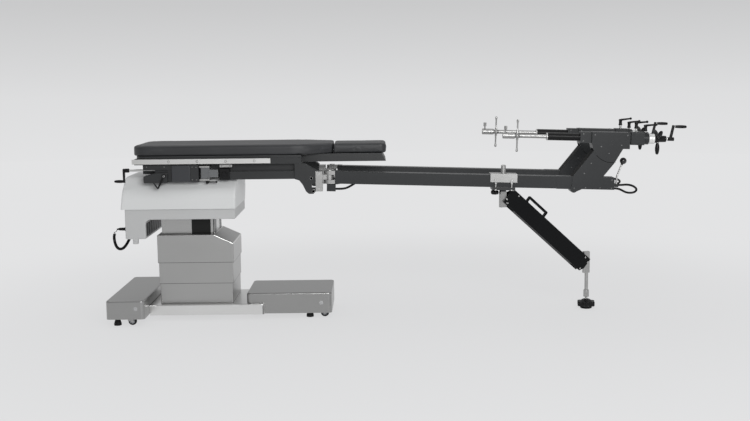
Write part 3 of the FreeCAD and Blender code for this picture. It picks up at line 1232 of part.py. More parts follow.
def make_spindle(side):
    """The turning spindle: outer tube, graduated ring and the three-grip handwheel."""
    tag = spar_tag(side)
    hub_left = d.ring_right
    right = d.wheel_hub_right
    hub = d.wheel_hub_radius
    profile = [(d.tube_left, 0), (d.tube_left, d.tube_radius), (d.ring_left, d.tube_radius),
               (d.ring_left, d.ring_radius), (hub_left, d.ring_radius), (hub_left, 0)]
    body = lathe("spindle_body", "x", (0, 0, d.axis_height), profile)
    rod_way = axis_rod("rod_way", (d.tube_left, d.bore_end), d.rod_radius + d.running_gap)
    drive_way = axis_rod("drive_way", (d.bore_end, hub_left), d.drive_radius + d.running_gap)
    tube = cut("spindle_bored_" + tag, body, rod_way, drive_way)
    profile = [(hub_left, 0), (hub_left, hub * 1.2), (hub_left + hub * 1.2, hub * 1.2),
               (hub_left + hub * 1.6, hub), (right, hub * 0.9), (right, 0)]
    pieces = [lathe("handwheel_hub", "x", (0, 0, d.axis_height), profile)]
    start, end, grip = d.grip_start, d.grip_end, d.grip_radius
    span = end - start
    shape = [(0, 0), (0, grip * 0.6), (span * 0.15, grip * 0.8), (span * 0.5, grip),
             (span * 0.85, grip * 0.8), (span, grip * 0.3), (span, 0)]
    for number in range(3):
        arm = lathe("grip_arm", "z", (0, 0, start - d.grip_root), shape)
        whole = group("grip", arm)
        angle = 180 + 120 * number
        pieces.append(turned(whole, X_AXIS, as_size(angle), d.grip_middle, 0, d.axis_height))
    hub_way = axis_rod("hub_way", (hub_left, right), d.drive_radius + d.running_gap)
    wheel = cut("handwheel_" + tag, fuse("handwheel_pieces", *pieces), hub_way)
    node("rotation_spindle_" + tag, on_spar(group("spindle_" + tag, tube, wheel), side))


def make_traction_rod(side):
    """The rod that the crank draws in and out, with the boot clamp on its end."""
    tag = spar_tag(side)
    shift = as_size(0) if side == NEAR else d.far_rod_shift
    pieces = [axis_rod("rod", (d.boot_right + shift, d.rod_end + shift), d.rod_radius)]
    boot = axis_rod("boot", (d.boot_left + shift, d.boot_right + shift), d.boot_radius)
    socket = axis_rod("boot_bore", (d.boot_left + shift, d.boot_left + d.boot_bore_depth + shift),
                      d.boot_bore_radius)
    pieces.append(cut("boot_socket", boot, socket))
    low = d.axis_height + d.boot_radius - d.clear_gap
    top = d.axis_height + d.boot_knob_top
    knob_low = low + d.boot_radius
    x = d.boot_knob_x + shift
    pieces.append(rod("knob_stem", "z", (x, 0), (low, knob_low), d.handle_radius))
    pieces.append(rod("knob_head", "z", (x, 0), (knob_low, top), d.boot_knob_radius))
    node("traction_rod_" + tag, on_spar(fuse("rod_weld_" + tag, *pieces), side))
    x = d.coupling_x + shift
    span = (x - d.coupling_half, x + d.coupling_half)
    ring = axis_rod("coupling", span, d.coupling_radius)
    handles = []
    for sign in (-1, 1):
        reach = d.handle_reach * sign
        z = d.axis_height + reach
        low, high = (z, d.axis_height) if sign < 0 else (d.axis_height, z)
        handles.append(rod("handle_bar", "z", (x, 0), (low, high), d.handle_radius))
        handles.append(ball("handle_ball", (x, 0, z), d.handle_ball))
    hole = axis_rod("coupling_bore", span, d.rod_radius + d.running_gap)
    bar = cut("lock_bar", fuse("lock_bar_pieces", ring, *handles), hole)
    node("boot_lock_bar_" + tag, on_spar(group("lock_bar_" + tag, bar), side))


def make_traction_crank(side):
    tag = spar_tag(side)
    pieces = [axis_rod("drive_shaft", (d.drive_start, d.drive_hub_left), d.drive_radius),
              axis_rod("drive_hub", (d.drive_hub_left, d.drive_hub_right), d.drive_hub_radius)]
    top = d.axis_height + d.drive_throw
    arm_right = d.drive_hub_right
    arm = (arm_right - d.drive_arm_half * 2, arm_right)
    pieces.append(half_box("drive_arm", arm, d.drive_arm_half, (d.axis_height, top)))
    pieces.append(rod("drive_arm_end", "x", (0, top), arm, d.drive_arm_half))
    grip = d.drive_grip_radius
    length = d.drive_grip_end - arm_right
    shape = [(0, 0), (0, grip * 0.6), (length * 0.35, grip * 0.8), (length * 0.9, grip),
             (length, grip * 0.7), (length, 0)]
    pieces.append(lathe("drive_grip", "x", (arm_right, 0, top), shape))
    node("traction_crank_" + tag, on_spar(fuse("drive_weld_" + tag, *pieces), side))


def make_clamp_levers(side):
    """Two clamping levers: a bright stud, a black hub and a slim arm with a ball."""
    tag = spar_tag(side)
    turn = d.near_lever_turn if side == NEAR else d.far_lever_turn
    levers = (("rotation_lock_lever_", d.first_lever_x, d.rear_box_half, d.first_stud),
              ("head_lock_lever_", d.second_lever_x, d.collar_radius, d.second_stud))
    for label, x, seat, stud in levers:
        pin = rod("lever_thread", "z", (0, 0), (-d.lever_hub_radius + d.clear_gap, 0),
                  d.lever_arm_radius)
        foot = rod("lever_stud", "z", (0, 0), (d.sliding_gap, stud), d.lever_stud_radius)
        link = rod("lever_link", "z", (0, 0), (0, stud), d.lever_arm_radius)
        top = stud + d.lever_hub
        hub = rod("lever_hub", "z", (0, 0), (stud, top), d.lever_hub_radius)
        arm_height = top - d.lever_arm_radius
        angle = math.degrees(math.atan2(d.lever_rise.value, d.lever_length.value))
        arm = rod("lever_arm", "x", (0, 0), (0, d.lever_length), d.lever_arm_radius)
        tip = ball("lever_tip", (d.lever_length, 0, 0), d.lever_ball)
        arm_set = turned(group("lever_arm_set", fuse("lever_arm_weld", arm, tip)), Y_AXIS,
                         as_size(-angle), 0, 0, arm_height)
        lever = fuse("lever_weld", pin, foot, link, hub, arm_set)
        lever = turned(lever, Z_AXIS, turn, x, 0, d.axis_height + seat)
        node(label + tag, on_spar(group(label + "placed_" + tag, lever), side))


def make_release(side):
    """The ball-topped lever that frees the spar's brake."""
    tag = spar_tag(side)
    x, z = d.release_x, d.release_z
    hub = rod("release_hub", "y", (x, z), (-d.release_hub, d.release_hub), d.release_hub)
    radius = d.release_rod_radius
    points = [(x, z), (d.release_knee_x, d.release_knee_z), (d.release_ball_x, d.release_ball_z)]
    parts = [hub]
    for first, second in zip(points, points[1:]):
        run, rise = second[0] - first[0], second[1] - first[1]
        length = math.hypot(run.value, rise.value)
        lean = math.degrees(math.atan2(run.value, rise.value))
        bar = rod("release_bar", "z", (0, 0), (0, length), radius)
        parts.append(turned(group("release_run", bar), Y_AXIS, as_size(lean),
                            first[0], 0, first[1]))
        parts.append(ball("release_joint", (second[0], 0, second[1]), radius))
    parts.append(ball("release_ball", (d.release_ball_x, 0, d.release_ball_z), d.release_ball))
    node("release_lever_" + tag, on_spar(fuse("release_weld_" + tag, *parts), side))


HINGE_HOSE = [(38, 0, -70), (68, 0, -70), (97, 0, -66), (124, 0, -53), (152, 0, -34)]
LOOP_HOSE = [(1710, 26, -13), (1738, 26, -13), (1766, 25, -9), (1794, 18, -12),
             (1815, 2, -22), (1820, -18, -36), (1803, -34, -48), (1776, -38, -53),
             (1748, -37, -49), (1724, -35, -36), (1702, -35, -28), (1680, -35, -28)]


def make_brake_hoses(side):
    """The release cable: its loop behind the lever and its end at the brake."""
    tag = spar_tag(side)
    radius = sheet.get("cable_radius")
    item = doc.addObject("Part::Feature", "hose_" + tag)
    loop = [(x, -side * y, z) for x, y, z in LOOP_HOSE]
    hinge = route_tube("hinge hose", HINGE_HOSE, radius)
    far_end = route_tube("release hose", loop, radius)
    item.Shape = Part.makeCompound([hinge, far_end])
    node("brake_hoses_" + tag, on_spar(item, side))


# Support leg under the near spar

def make_spar_bracket():
    """The clamp round the near spar with the swivel boss of the support leg."""
    x, half = d.bracket_x, d.bracket_half_length
    wall = d.bracket_wall
    width = d.spar_half_width + d.running_gap
    ends = (x - half, x + half)
    pieces = [half_box("bracket_top", ends, width + wall, (d.spar_half + d.running_gap,
                       d.bracket_crown))]
    for side in (NEAR, FAR):
        ys = mirrored_span(side, width, width + wall)
        pieces.append(box("bracket_cheek", ends, ys, (d.bracket_skirt, d.bracket_crown)))
        for stud_side in (-1, 1):
            stud_x = x + d.stud_reach * stud_side
            lug_y = mirrored_span(side, width + wall / 2, width + wall * 2)
            pieces.append(box("bracket_lug", (stud_x - wall, stud_x + wall), lug_y,
                              (d.bracket_skirt, d.bracket_skirt + wall * 2)))
            stud_y = side * (width + wall * 1.2)
            pieces.append(rod("bracket_stud", "z", (stud_x, stud_y),
                              (d.stud_end, d.bracket_skirt), d.stud_radius))
    bar = (x - d.lower_bar_half_length, x + d.lower_bar_half_length)
    pieces.append(half_box("lower_bar", bar, width + wall * 2,
                           (d.lower_bar_bottom, -(d.spar_half + d.running_gap))))
    crown = (d.bracket_crown, d.bracket_crown + d.crown_height)
    pieces.append(rod("crown", "z", (x, 0), crown, d.crown_radius))
    pieces.append(rod("crown_flange", "z", (x, 0), (d.bracket_crown, d.bracket_crown + wall / 2),
                      d.crown_flange))
    clamp = on_spar(fuse("bracket_pieces", *pieces), NEAR)
    place = (d.swivel_x, -d.spar_side)
    boss = rod("swivel_boss", "z", place, (d.boss_bottom, d.boss_top), d.boss_radius)
    bore = rod("swivel_hole", "z", place, (d.boss_bottom, d.boss_top - d.clear_gap),
               d.post_spigot + d.running_gap)
    knob_way = rod("knob_way", "z", (x - d.stud_reach, 0), (d.knob_top, -d.spar_half),
                   d.stud_radius + d.running_gap)
    tools = group("bracket_ways", bore, on_spar(group("knob_way_set", knob_way), NEAR))
    node("spar_bracket", cut("bracket", fuse("bracket_weld", clamp, boss), tools))


def make_bracket_knob():
    """The star knob that tightens the clamp on the spar."""
    x = d.bracket_x - d.stud_reach
    pieces = [rod("star_core", "z", (x, 0), (d.knob_bottom, d.knob_top - d.sliding_gap),
                  d.knob_radius * 0.72)]
    pieces.append(rod("star_screw", "z", (x, 0), (d.knob_top - d.sliding_gap,
                      -(d.spar_half + d.clear_gap)), d.stud_radius))
    for number in range(int(d.knob_lobes.value)):
        angle = 2 * math.pi * number / d.knob_lobes.value
        reach = d.knob_radius * 0.66
        place = (x + reach * math.cos(angle), reach * math.sin(angle))
        heights = (d.knob_bottom + d.knob_lobe_inset,
                   d.knob_top - d.sliding_gap - d.knob_lobe_inset)
        pieces.append(rod("star_lobe", "z", place, heights, d.knob_radius * 0.34))
    node("bracket_knob", on_spar(fuse("star_knob", *pieces), NEAR))


def make_support_post():
    """The bright upright under the bracket that swivels and carries the arm."""
    bar = half_box("post_bar", (-d.post_half, d.post_half), d.post_bar_half,
                   (d.post_low, d.post_high))
    spigot = rod("post_spigot", "z", (0, 0), (d.post_high, d.boss_top - d.clear_gap * 2),
                 d.post_spigot)
    pivot = (d.arm_pivot, d.arm_height)
    bore = rod("post_bore", "y", pivot, (-d.post_bar_half, d.post_bar_half),
               d.arm_pin_radius + d.running_gap)
    node("support_post", on_swivel(cut("post", fuse("post_weld", bar, spigot), bore)))


def make_support_arm():
    """The black channel arm with its carrying handle."""
    half, wall = d.arm_half, d.arm_wall
    low, high = d.arm_below, d.arm_above
    start, end = -d.arm_lead, d.arm_length
    rise = high - low
    pieces = []
    angle = d.arm_angle
    far_x = d.arm_run * cosine(angle) + d.arm_drop * sine(angle)
    far_z = d.arm_run * sine(angle) - d.arm_drop * cosine(angle)
    side_plate = [(start, low), (end - rise * 0.18, low), (end, low + rise * 0.3),
                  (end, high), (start + rise * 0.18, high), (start, high - rise * 0.3)]
    notch = d.arm_notch
    for side in (NEAR, FAR):
        ys = mirrored_span(side, half - wall, half)
        plate = slab("arm_plate", "XZ_Plane", side_plate, *ys)
        cuts = [rod("arm_notch", "y", (start, 0), ys, notch / 2),
                rod("arm_notch", "y", (end, far_z), ys, notch / 2)]
        pieces.append(cut("arm_side", plate, *cuts))
        pins = mirrored_span(side, 0, half)
        pieces.append(rod("arm_pin", "y", (0, 0), pins, d.arm_pin_radius))
        pieces.append(rod("arm_pin", "y", (far_x, far_z), pins, d.arm_pin_radius))
    strip = (d.arm_open_end, d.arm_length - d.arm_open_end)
    pieces.append(half_box("arm_top", strip, half, (high - wall, high)))
    pieces.append(half_box("arm_bottom", strip, half, (low, low + wall)))
    left, right, bar = d.arm_handle_left, d.arm_handle_right, d.arm_handle_bar
    crown = high + d.arm_handle_rise
    outer = slab("handle_outer", "XZ_Plane", [(left, high), (right, high), (right, crown),
                 (left, crown)], -bar / 2, bar / 2)
    round_edges(outer, bar / 2, lambda a, b: runs_along("y", a, b) and at(a, "z", crown))
    inner = half_box("handle_inner", (left + bar, right - bar), bar, (high, crown - bar))
    pieces.append(cut("handle", outer, inner))
    arm = turned(fuse("arm_weld", *pieces), Y_AXIS, angle, d.arm_pivot, 0, d.arm_height)
    node("support_arm", on_swivel(group("arm_placed", arm)))


def make_support_leg():
    """The lower post of the support, kept upright by the arm's linkage."""
    bar = half_box("leg_bar", (d.leg_bar_left, d.leg_bar_right), d.leg_bar_half,
                   (d.leg_bar_bottom, d.leg_bar_top))
    centre = (d.leg_axis, 0)
    tube = rod("leg_tube", "z", centre, (d.leg_tube_bottom, d.leg_bar_top), d.leg_tube_radius)
    nut = rod("leg_nut", "z", centre, (d.leg_nut_bottom, d.leg_tube_bottom), d.leg_nut_radius)
    stem_way = rod("stem_way", "z", centre,
                   (d.leg_nut_bottom, d.stem_top + d.foot_wheel_top / 2),
                   d.stem_radius + d.running_gap)
    pivot = (d.arm_pivot + d.arm_run, d.arm_height - d.arm_drop)
    bore = rod("leg_bore", "y", pivot, (-d.leg_bar_half, d.leg_bar_half),
               d.arm_pin_radius + d.running_gap)
    node("support_leg", on_swivel(cut("leg", fuse("leg_weld", bar, tube, nut),
                                      stem_way, bore)))


def make_support_foot():
    """The rubber foot on its threaded stem, and the lobed wheel that turns it down."""
    centre = (d.leg_axis, 0, 0)
    profile = [(0, 0), (0, d.foot_radius * 0.9), (d.foot_top / 2, d.foot_radius),
               (d.foot_top, d.foot_radius), (d.foot_top, d.stem_radius),
               (d.stem_top, d.stem_radius), (d.stem_top, 0)]
    node("support_foot", on_swivel(group("foot", lathe("foot_body", "z", centre, profile))))
    low, high, reach = d.foot_wheel_bottom, d.foot_wheel_top, d.foot_wheel_radius
    rim = d.foot_wheel_rim
    shape = [(low, 0), (low, reach * 0.8), (low + rim, reach), (high - rim * 2, reach),
             (high - rim, reach * 0.7), (high, reach * 0.4), (high, 0)]
    pieces = [lathe("foot_wheel_body", "z", centre, shape)]
    for number in range(int(d.foot_lobes.value)):
        angle = 2 * math.pi * number / d.foot_lobes.value
        place = (d.leg_axis + reach * math.cos(angle), reach * math.sin(angle))
        pieces.append(rod("foot_lobe", "z", place, (low + rim, high - rim * 2),
                          d.foot_lobe_radius))
    way = rod("foot_wheel_way", "z", (d.leg_axis, 0), (low, high), d.stem_radius + d.running_gap)
    wheel = cut("foot_wheel", fuse("foot_wheel_weld", *pieces), way)
    node("foot_handwheel", on_swivel(group("foot_wheel_placed", wheel)))


# The whole table

def build():
    make_base_frame()
    for tag, place in CASTERS.items():
        make_caster(tag, *place)
    make_floor_lock_feet()
    make_base_covers()
    make_chassis_cover()
    make_column_covers()
    make_lift_column()
    make_tilt_cross()
    make_housing()
    make_pendant()
    make_pendant_cord()
    make_table_frame()
    make_panels()
    make_side_rails()
    make_pads()
    make_tilt_gear()
    make_tilt_lock()
    make_side_clamp()
    make_hinge_plates()
    for side in (NEAR, FAR):
        make_spar(side)
        make_traction_head(side)
        make_spindle(side)
        make_traction_rod(side)
        make_traction_crank(side)
        make_clamp_levers(side)
        make_release(side)
        make_brake_hoses(side)
    make_spar_bracket()
    make_bracket_knob()
    make_support_post()
    make_support_arm()
    make_support_leg()
    make_support_foot()


def check():
    """Stops if any object of the document has failed."""
    doc.recompute()
    for item in doc.Objects:
        if "Invalid" in item.State or "Error" in item.State:
            raise RuntimeError(f"{item.Name}: {item.State}")
    for item in NODES:
        if item.Shape.isNull() or not item.Shape.isValid():
            raise RuntimeError(item.Label + " has no valid shape")


build()
check()
os.makedirs("parts", exist_ok=True)
for sub_part in NODES:
    sub_part.Shape.exportStep(f"parts/{sub_part.Label}.step")
    box_of = sub_part.Shape.BoundBox
    print(f"{sub_part.Label}: {len(sub_part.Shape.Solids)} solids,"
          f" {sub_part.Shape.Volume / 1000:.0f} cm3,"
          f" x {box_of.XMin:.0f}..{box_of.XMax:.0f},"
          f" y {box_of.YMin:.0f}..{box_of.YMax:.0f}, z {box_of.ZMin:.0f}..{box_of.ZMax:.0f}")
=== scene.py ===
import json
import math

import bmesh
import bpy
from bpy.props import FloatProperty, FloatVectorProperty, IntProperty, PointerProperty
from mathutils import Matrix, Quaternion, Vector


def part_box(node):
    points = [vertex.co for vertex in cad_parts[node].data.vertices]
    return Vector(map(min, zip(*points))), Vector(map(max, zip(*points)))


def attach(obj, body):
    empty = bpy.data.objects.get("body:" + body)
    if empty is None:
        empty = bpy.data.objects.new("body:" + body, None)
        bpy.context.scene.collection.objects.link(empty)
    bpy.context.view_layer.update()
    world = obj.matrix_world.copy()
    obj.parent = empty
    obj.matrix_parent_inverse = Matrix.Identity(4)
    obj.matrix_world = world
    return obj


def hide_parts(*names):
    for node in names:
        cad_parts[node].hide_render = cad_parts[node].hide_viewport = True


bl_info = {
    "name": "Operating Table Dresser",
    "version": (1, 0, 0),
    "blender": (4, 5, 0),
    "location": "View3D > Sidebar > Table",
    "description": "Finishes, pads, cords and fittings of an orthopaedic operating table",
    "category": "Object",
}

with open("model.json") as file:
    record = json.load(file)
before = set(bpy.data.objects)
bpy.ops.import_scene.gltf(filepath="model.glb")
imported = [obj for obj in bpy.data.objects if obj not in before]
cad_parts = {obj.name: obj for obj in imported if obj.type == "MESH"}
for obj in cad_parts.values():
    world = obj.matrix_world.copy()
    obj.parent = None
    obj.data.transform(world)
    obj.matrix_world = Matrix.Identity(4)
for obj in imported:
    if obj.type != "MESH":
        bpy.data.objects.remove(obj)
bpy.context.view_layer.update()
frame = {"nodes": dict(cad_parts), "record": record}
NODES = frame["nodes"]
BODY_OF = {node: body for body, nodes in frame["record"]["behaviour"]["bodies"].items()
           for node in nodes}
SIDES = (("near", -1), ("far", 1))


# Sizes and colours that a user would change

def length(label, about, value):
    return FloatProperty(name=label, description=about, subtype="DISTANCE", unit="LENGTH",
                         min=0.0, default=value, precision=4)


class TableFinishes(bpy.types.PropertyGroup):
    """Colours of the painted, covered and metal surfaces."""
    steel: FloatVectorProperty(
        name="Stainless steel", description="Tone of the brushed covers", subtype="COLOR",
        size=3, min=0, max=1, default=(0.42, 0.42, 0.415))
    housing: FloatVectorProperty(
        name="Upper housing", description="Paint of the upper housing", subtype="COLOR",
        size=3, min=0, max=1, default=(0.68, 0.69, 0.69))
    # Painted shade: the lower housing's colour is the upper housing's paint darkened, as it faces
    # down.
    tub: FloatVectorProperty(
        name="Lower housing", description="Paint of the lower housing", subtype="COLOR",
        size=3, min=0, max=1, default=(0.50, 0.505, 0.505))
    frame_paint: FloatVectorProperty(
        name="Frame", description="Powder coat of the frame and the gearbox",
        subtype="COLOR", size=3, min=0, max=1, default=(0.014, 0.015, 0.016))
    spar_paint: FloatVectorProperty(
        name="Spars", description="Satin paint of the spars and traction heads",
        subtype="COLOR", size=3, min=0, max=1, default=(0.016, 0.0175, 0.019))
    vinyl: FloatVectorProperty(
        name="Pads", description="Vinyl of the pads", subtype="COLOR",
        size=3, min=0, max=1, default=(0.022, 0.023, 0.025))
    silver: FloatVectorProperty(
        name="Cast silver", description="Cast and machined light parts", subtype="COLOR",
        size=3, min=0, max=1, default=(0.41, 0.41, 0.405))


class TableSizes(bpy.types.PropertyGroup):
    """Small sizes that only the looks use."""
    edge: FloatProperty(
        name="Edge break", description="Rounding of machined edges", subtype="DISTANCE",
        unit="LENGTH", min=0, default=0.0012)
    cord_wire: FloatProperty(
        name="Cord", description="Diameter of the curly cord's own wire",
        subtype="DISTANCE", unit="LENGTH", min=0.001, default=0.0035)
    curl_radius: FloatProperty(
        name="Curl radius", description="Radius of the curl at the middle of its wire",
        subtype="DISTANCE", unit="LENGTH", min=0.002, default=0.0071)
    curl_turns: IntProperty(
        name="Curl turns", description="Turns of the curly cord", min=4, default=80)
    curl_run_out: length("Curl run-out", "Length of the drawn-out turn at each end", 0.026)
    guide_gap: length("Guide gap", "From the mast to the hole in the chassis cover", 0.007)
    roof_cover: length("Roof cover", "How far the roof reaches over the mast's wall", 0.002)
    well_along: length("Well along", "From the mast to the well round it, along", 0.036)
    well_across: length("Well across", "From the mast to the well round it, across", 0.046)
    # A painted shadow: height of the darker band along the lower edge of the column's covers.
    shadow_band: length("Hem", "Height of the shaded hem of the column's covers", 0.0028)
    roof_fall: length("Roof fall", "How far the column's roof slopes down", 0.052)
    roof_flat: length("Roof flat", "Level length of the column's roof", 0.3415)
    # The mast's dark strips are painted dark reflections in its polished steel; these sizes place
    # them.
    roof_lip: length("Roof lip", "Rounding of the column's roof", 0.005)
    reflection_start: length("Strip start", "From the mast's head side to its dark strip", 0.180)
    reflection_edge: length("Edge strip", "Width of the dark strip on the mast's edge", 0.007)
    reflection_wrap: length("Edge wrap", "How far that strip goes round the corner", 0.080)
    reflection_end: length("Strip end", "From the mast's head side to the strip's end", 0.294)
    reflection_bottom: length("Strip bottom", "Lower end of the mast's dark strip", 0.300)
    reflection_top: length("Strip top", "Upper end of the mast's dark strip", 0.630)
    plug_radius: length("Plug", "Radius of the cord's plug", 0.0085)
    cover_corner: length("Cover corners", "Rounding of the base covers' corners", 0.022)
    cover_rim: length("Cover rims", "Rounding of the base covers' tops", 0.008)
    nose_corner: length("Nose", "Rounding of the chassis cover's upright corners", 0.014)
    nose_rim: length("Nose rim", "Rounding of the chassis cover's top", 0.006)
    cap_inset: length("Cap inset", "From a cover's end to its cap", 0.052)
    cap_height: length("Cap height", "From a cover's lower edge to its cap", 0.062)
    cap_radius: length("Cap", "Radius of the caps on the base covers", 0.012)
    cap_proud: length("Cap height", "How far a cap stands out", 0.0015)
    drum_shoulder: length("Drum shoulder", "Height where the housing's side turns in", 0.770)
    drum_flat: length("Drum top", "Half width of the housing's flat top", 0.185)
    drum_round: length("Drum round", "Rounding offset of the housing's shoulders", 0.034)
    drum_head_slope: length("Head slope", "Run of the slanting head end", 0.020)
    drum_foot_slope: length("Foot slope", "Run of the slanting foot end", 0.010)
    drum_end_round: length("End round", "Rounding of the housing's ends", 0.010)
    socket_reach: length("Socket", "How far the socket stands out", 0.034)
    arch: length("Arch", "Radius of the arch beside the leg", 0.030)
    tub_floor: length("Tub floor", "Height of the lower housing's floor", 0.612)
    tub_round: length("Tub round", "Rounding of the lower housing", 0.005)
    tub_stop_left: FloatProperty(name="Stop block", description="Head side of the stop block",
                                 unit="LENGTH", default=-1.568)
    leg_depth: length("Leg depth", "From the housing's head end to its leg's inner face", 0.154)
    leg_stop: length("Leg stop", "Height of the stop block under the leg", 0.030)
    leg_panel: length("Leg channel", "Height of the channel in the leg", 0.092)
    leg_panel_half: length("Leg channel half", "Half width of that channel", 0.222)
    rail_first_bolt: length("First bolt", "From the rail's end to its first bolt", 0.215)
    rail_bolt_pitch: length("Bolt pitch", "Distance of the rail's bolts", 0.167)
    motor_reach: length("Motor reach", "From the gearbox's end to the motor", 0.159)
    motor_length: length("Motor length", "Length of the motor cover", 0.110)
    lock_hub_x: FloatProperty(name="Lock lever X", description="Where the lock lever turns",
                              unit="LENGTH", default=-1.364)
    lock_hub_z: length("Lock lever Z", "Height of the lock lever's pin", 0.873)
    crank_hub: length("Crank hub", "Radius of the tilt crank's hub", 0.012)
    crank_grip: length("Crank grip", "Length of the tilt crank's grip", 0.064)
    clamp_bar: length("Clamp bar", "Thickness of the clamp's bars", 0.009)
    clamp_length: length("Clamp length", "Length of the clamp without its latch", 0.059)
    clamp_knob: length("Clamp knob", "From the small lever's end to its pin", 0.008)
    pad_voxel: FloatProperty(
        name="Pad cells", description="Cell size of the pads' cloth", subtype="DISTANCE",
        unit="LENGTH", min=0.003, default=0.006)


class TractionSizes(bpy.types.PropertyGroup):
    """The traction unit, in the frame of its spar."""
    half_width: length("Half width", "Half width of the upright and the head", 0.045)
    axis: length("Axis", "Height of the traction axis over the spar's middle", 0.268)
    yoke: length("Yoke", "End of the spar's bright yoke", 0.034)
    yoke_half: length("Yoke half", "Half height of that yoke", 0.038)
    pivot_x: length("Pivot X", "Where the head turns, along the spar", 1.656)
    pivot_z: length("Pivot Z", "Where the head turns, above the spar", 0.242)
    seam: length("Seam", "Radius of the joint line under the head", 0.1185)
    tube: length("Tube", "Start of the spindle's tube", 1.275)
    tube_radius: length("Tube radius", "Radius of the spindle's tube", 0.0225)
    ring: length("Ring", "Start of the graduated ring", 1.876)
    ring_end: length("Ring end", "End of the graduated ring", 1.910)
    ring_radius: length("Ring radius", "Radius of the graduated ring", 0.0294)
    hub_end: length("Hub end", "End of the handwheel's hub", 1.980)
    hub_radius: length("Hub radius", "Radius of the handwheel's hub", 0.020)
    grip: length("Grips", "Where the handwheel's grips stand", 1.932)
    grip_start: length("Grip start", "From the axis to a grip", 0.022)
    grip_end: length("Grip end", "From the axis to a grip's tip", 0.093)
    grip_radius: length("Grip radius", "Radius of a grip", 0.013)
    far_shift: FloatProperty(name="Far shift", description="How far the far rod is drawn out",
                             unit="LENGTH", default=-0.080)
    boot: length("Boot clamp", "Start of the boot clamp", 1.017)
    boot_end: length("Boot clamp end", "End of the boot clamp", 1.090)
    boot_radius: length("Boot clamp radius", "Radius of the boot clamp", 0.018)
    boot_knob: length("Clamp knob", "Where the boot clamp's knob stands", 1.033)
    boot_knob_top: length("Knob top", "From the axis to the top of that knob", 0.056)
    rod_end: length("Rod end", "End of the rod inside the spindle", 1.480)
    rod_radius: length("Rod radius", "Radius of the rod", 0.012)
    bar: length("Cross bar", "Where the cross bar sits", 1.103)
    bar_reach: length("Bar reach", "From the axis to the ball of the cross bar", 0.090)
    bar_collar: length("Bar collar", "Radius of the cross bar's collar", 0.017)
    collar_half: length("Collar half", "Half width of that collar", 0.009)
    crank_start: length("Crank start", "Start of the crank's shaft", 1.900)
    crank_hub: length("Crank hub", "Start of the crank's hub", 1.990)
    crank_end: length("Crank end", "End of the crank's hub", 2.027)
    crank_throw: length("Throw", "From the axis to the crank's grip", 0.074)
    crank_lean: length("Crank lean", "How far the crank's arm leans outwards", 0.014)
    grip_tip: length("Grip tip", "End of the crank's grip", 2.098)
    rear_half: length("Rear block", "Half height of the block behind the head", 0.038)
    collar: length("Collar", "Radius of the collar behind that block", 0.035)
    first_lever: length("First lever", "Where the rotation lock lever stands", 1.802)
    second_lever: length("Second lever", "Where the head lock lever stands", 1.857)
    first_stud: length("First stud", "Height of the first lever's stud", 0.020)
    second_stud: length("Second stud", "Height of the second lever's stud", 0.008)
    lever_hub: length("Lever hub", "Height of a lever's hub", 0.038)
    lever_radius: length("Lever radius", "Radius of a lever's hub", 0.0118)
    lever_length: length("Lever length", "Length of a lever's arm", 0.070)
    lever_rise: length("Lever rise", "Rise of a lever's arm", 0.0085)
    near_lever_turn: FloatProperty(name="Near levers", description="Turn of the near levers",
                                   subtype="ANGLE", default=math.radians(-44))
    far_lever_turn: FloatProperty(name="Far levers", description="Turn of the far levers",
                                  subtype="ANGLE", default=math.radians(16))
    release_x: length("Release X", "Where the release lever turns, along the spar", 1.699)
    release_z: FloatProperty(name="Release Z", description="Height of that pin on the spar",
                             unit="LENGTH", default=-0.013)


class SupportSizes(bpy.types.PropertyGroup):
    """The clamp on the near spar and the support leg under it."""
    bracket: length("Bracket", "Where the bracket's middle sits on the spar", 1.028)
    crown: length("Crown", "Top of the bracket's crown above the spar's middle", 0.090)
    plate: FloatProperty(name="Plate", description="Top of the bracket's black lower plate",
                         unit="LENGTH", default=-0.042)
    stud_x: length("Stud X", "From the bracket's middle to a stud, along the spar", 0.047)
    stud_y: length("Stud Y", "From the bracket's middle to a stud, across", 0.04715)
    stud_end: FloatProperty(name="Stud end", description="Lower end of a stud",
                            unit="LENGTH", default=-0.054)
    pivot_x: length("Arm pivot X", "Where the arm turns", 0.017)
    pivot_z: length("Arm pivot Z", "Height of the arm's pin", 0.708)
    arm_angle: FloatProperty(name="Arm angle", description="How far the arm slopes down",
                             subtype="ANGLE", default=math.radians(40.8))
    arm_length: length("Arm length", "Length of the channel arm", 0.700)
    arm_half: length("Arm half", "Half width of the channel arm", 0.022)
    axis: length("Leg axis", "Where the leg stands from the swivel", 0.582)
    wheel: length("Foot wheel", "Radius of the foot's wheel", 0.044)
    wheel_low: length("Wheel bottom", "Lower face of the foot's wheel", 0.0105)
    wheel_top: length("Wheel top", "Upper face of the foot's wheel", 0.058)


class StageSettings(bpy.types.PropertyGroup):
    """Floor, lights and camera."""
    floor: FloatProperty(name="Floor tone", description="Grey of the floor", min=0, max=1,
                         default=0.68)
    key: FloatProperty(name="Key light", description="Strength of the overhead light",
                       subtype="POWER", unit="POWER", min=0, default=48)
    front: FloatProperty(name="Front light", description="Strength of the front light",
                         subtype="POWER", unit="POWER", min=0, default=190)
    camera: FloatVectorProperty(
        name="Camera", description="Where the camera stands", subtype="TRANSLATION",
        unit="LENGTH", size=3, default=(-0.1305, -6.7, 1.4533))
    pitch: FloatProperty(name="Pitch", description="How far the camera looks down",
                         subtype="ANGLE", default=math.radians(7.07))
    roll: FloatProperty(name="Roll", description="Tilt of the camera", subtype="ANGLE",
                        default=math.radians(-0.62))
    lens: FloatProperty(name="Lens", description="Focal length in millimetres", min=10,
                        default=52.8)


# Nodes of the finishes

def add(tree, kind, **settings):
    """One node with its settings; names that end in _in set inputs by name."""
    node = tree.nodes.new("ShaderNode" + kind)
    for name, value in settings.items():
        if name.endswith("_in"):
            node.inputs[name[:-3].replace("_", " ")].default_value = value
        else:
            setattr(node, name, value)
    return node


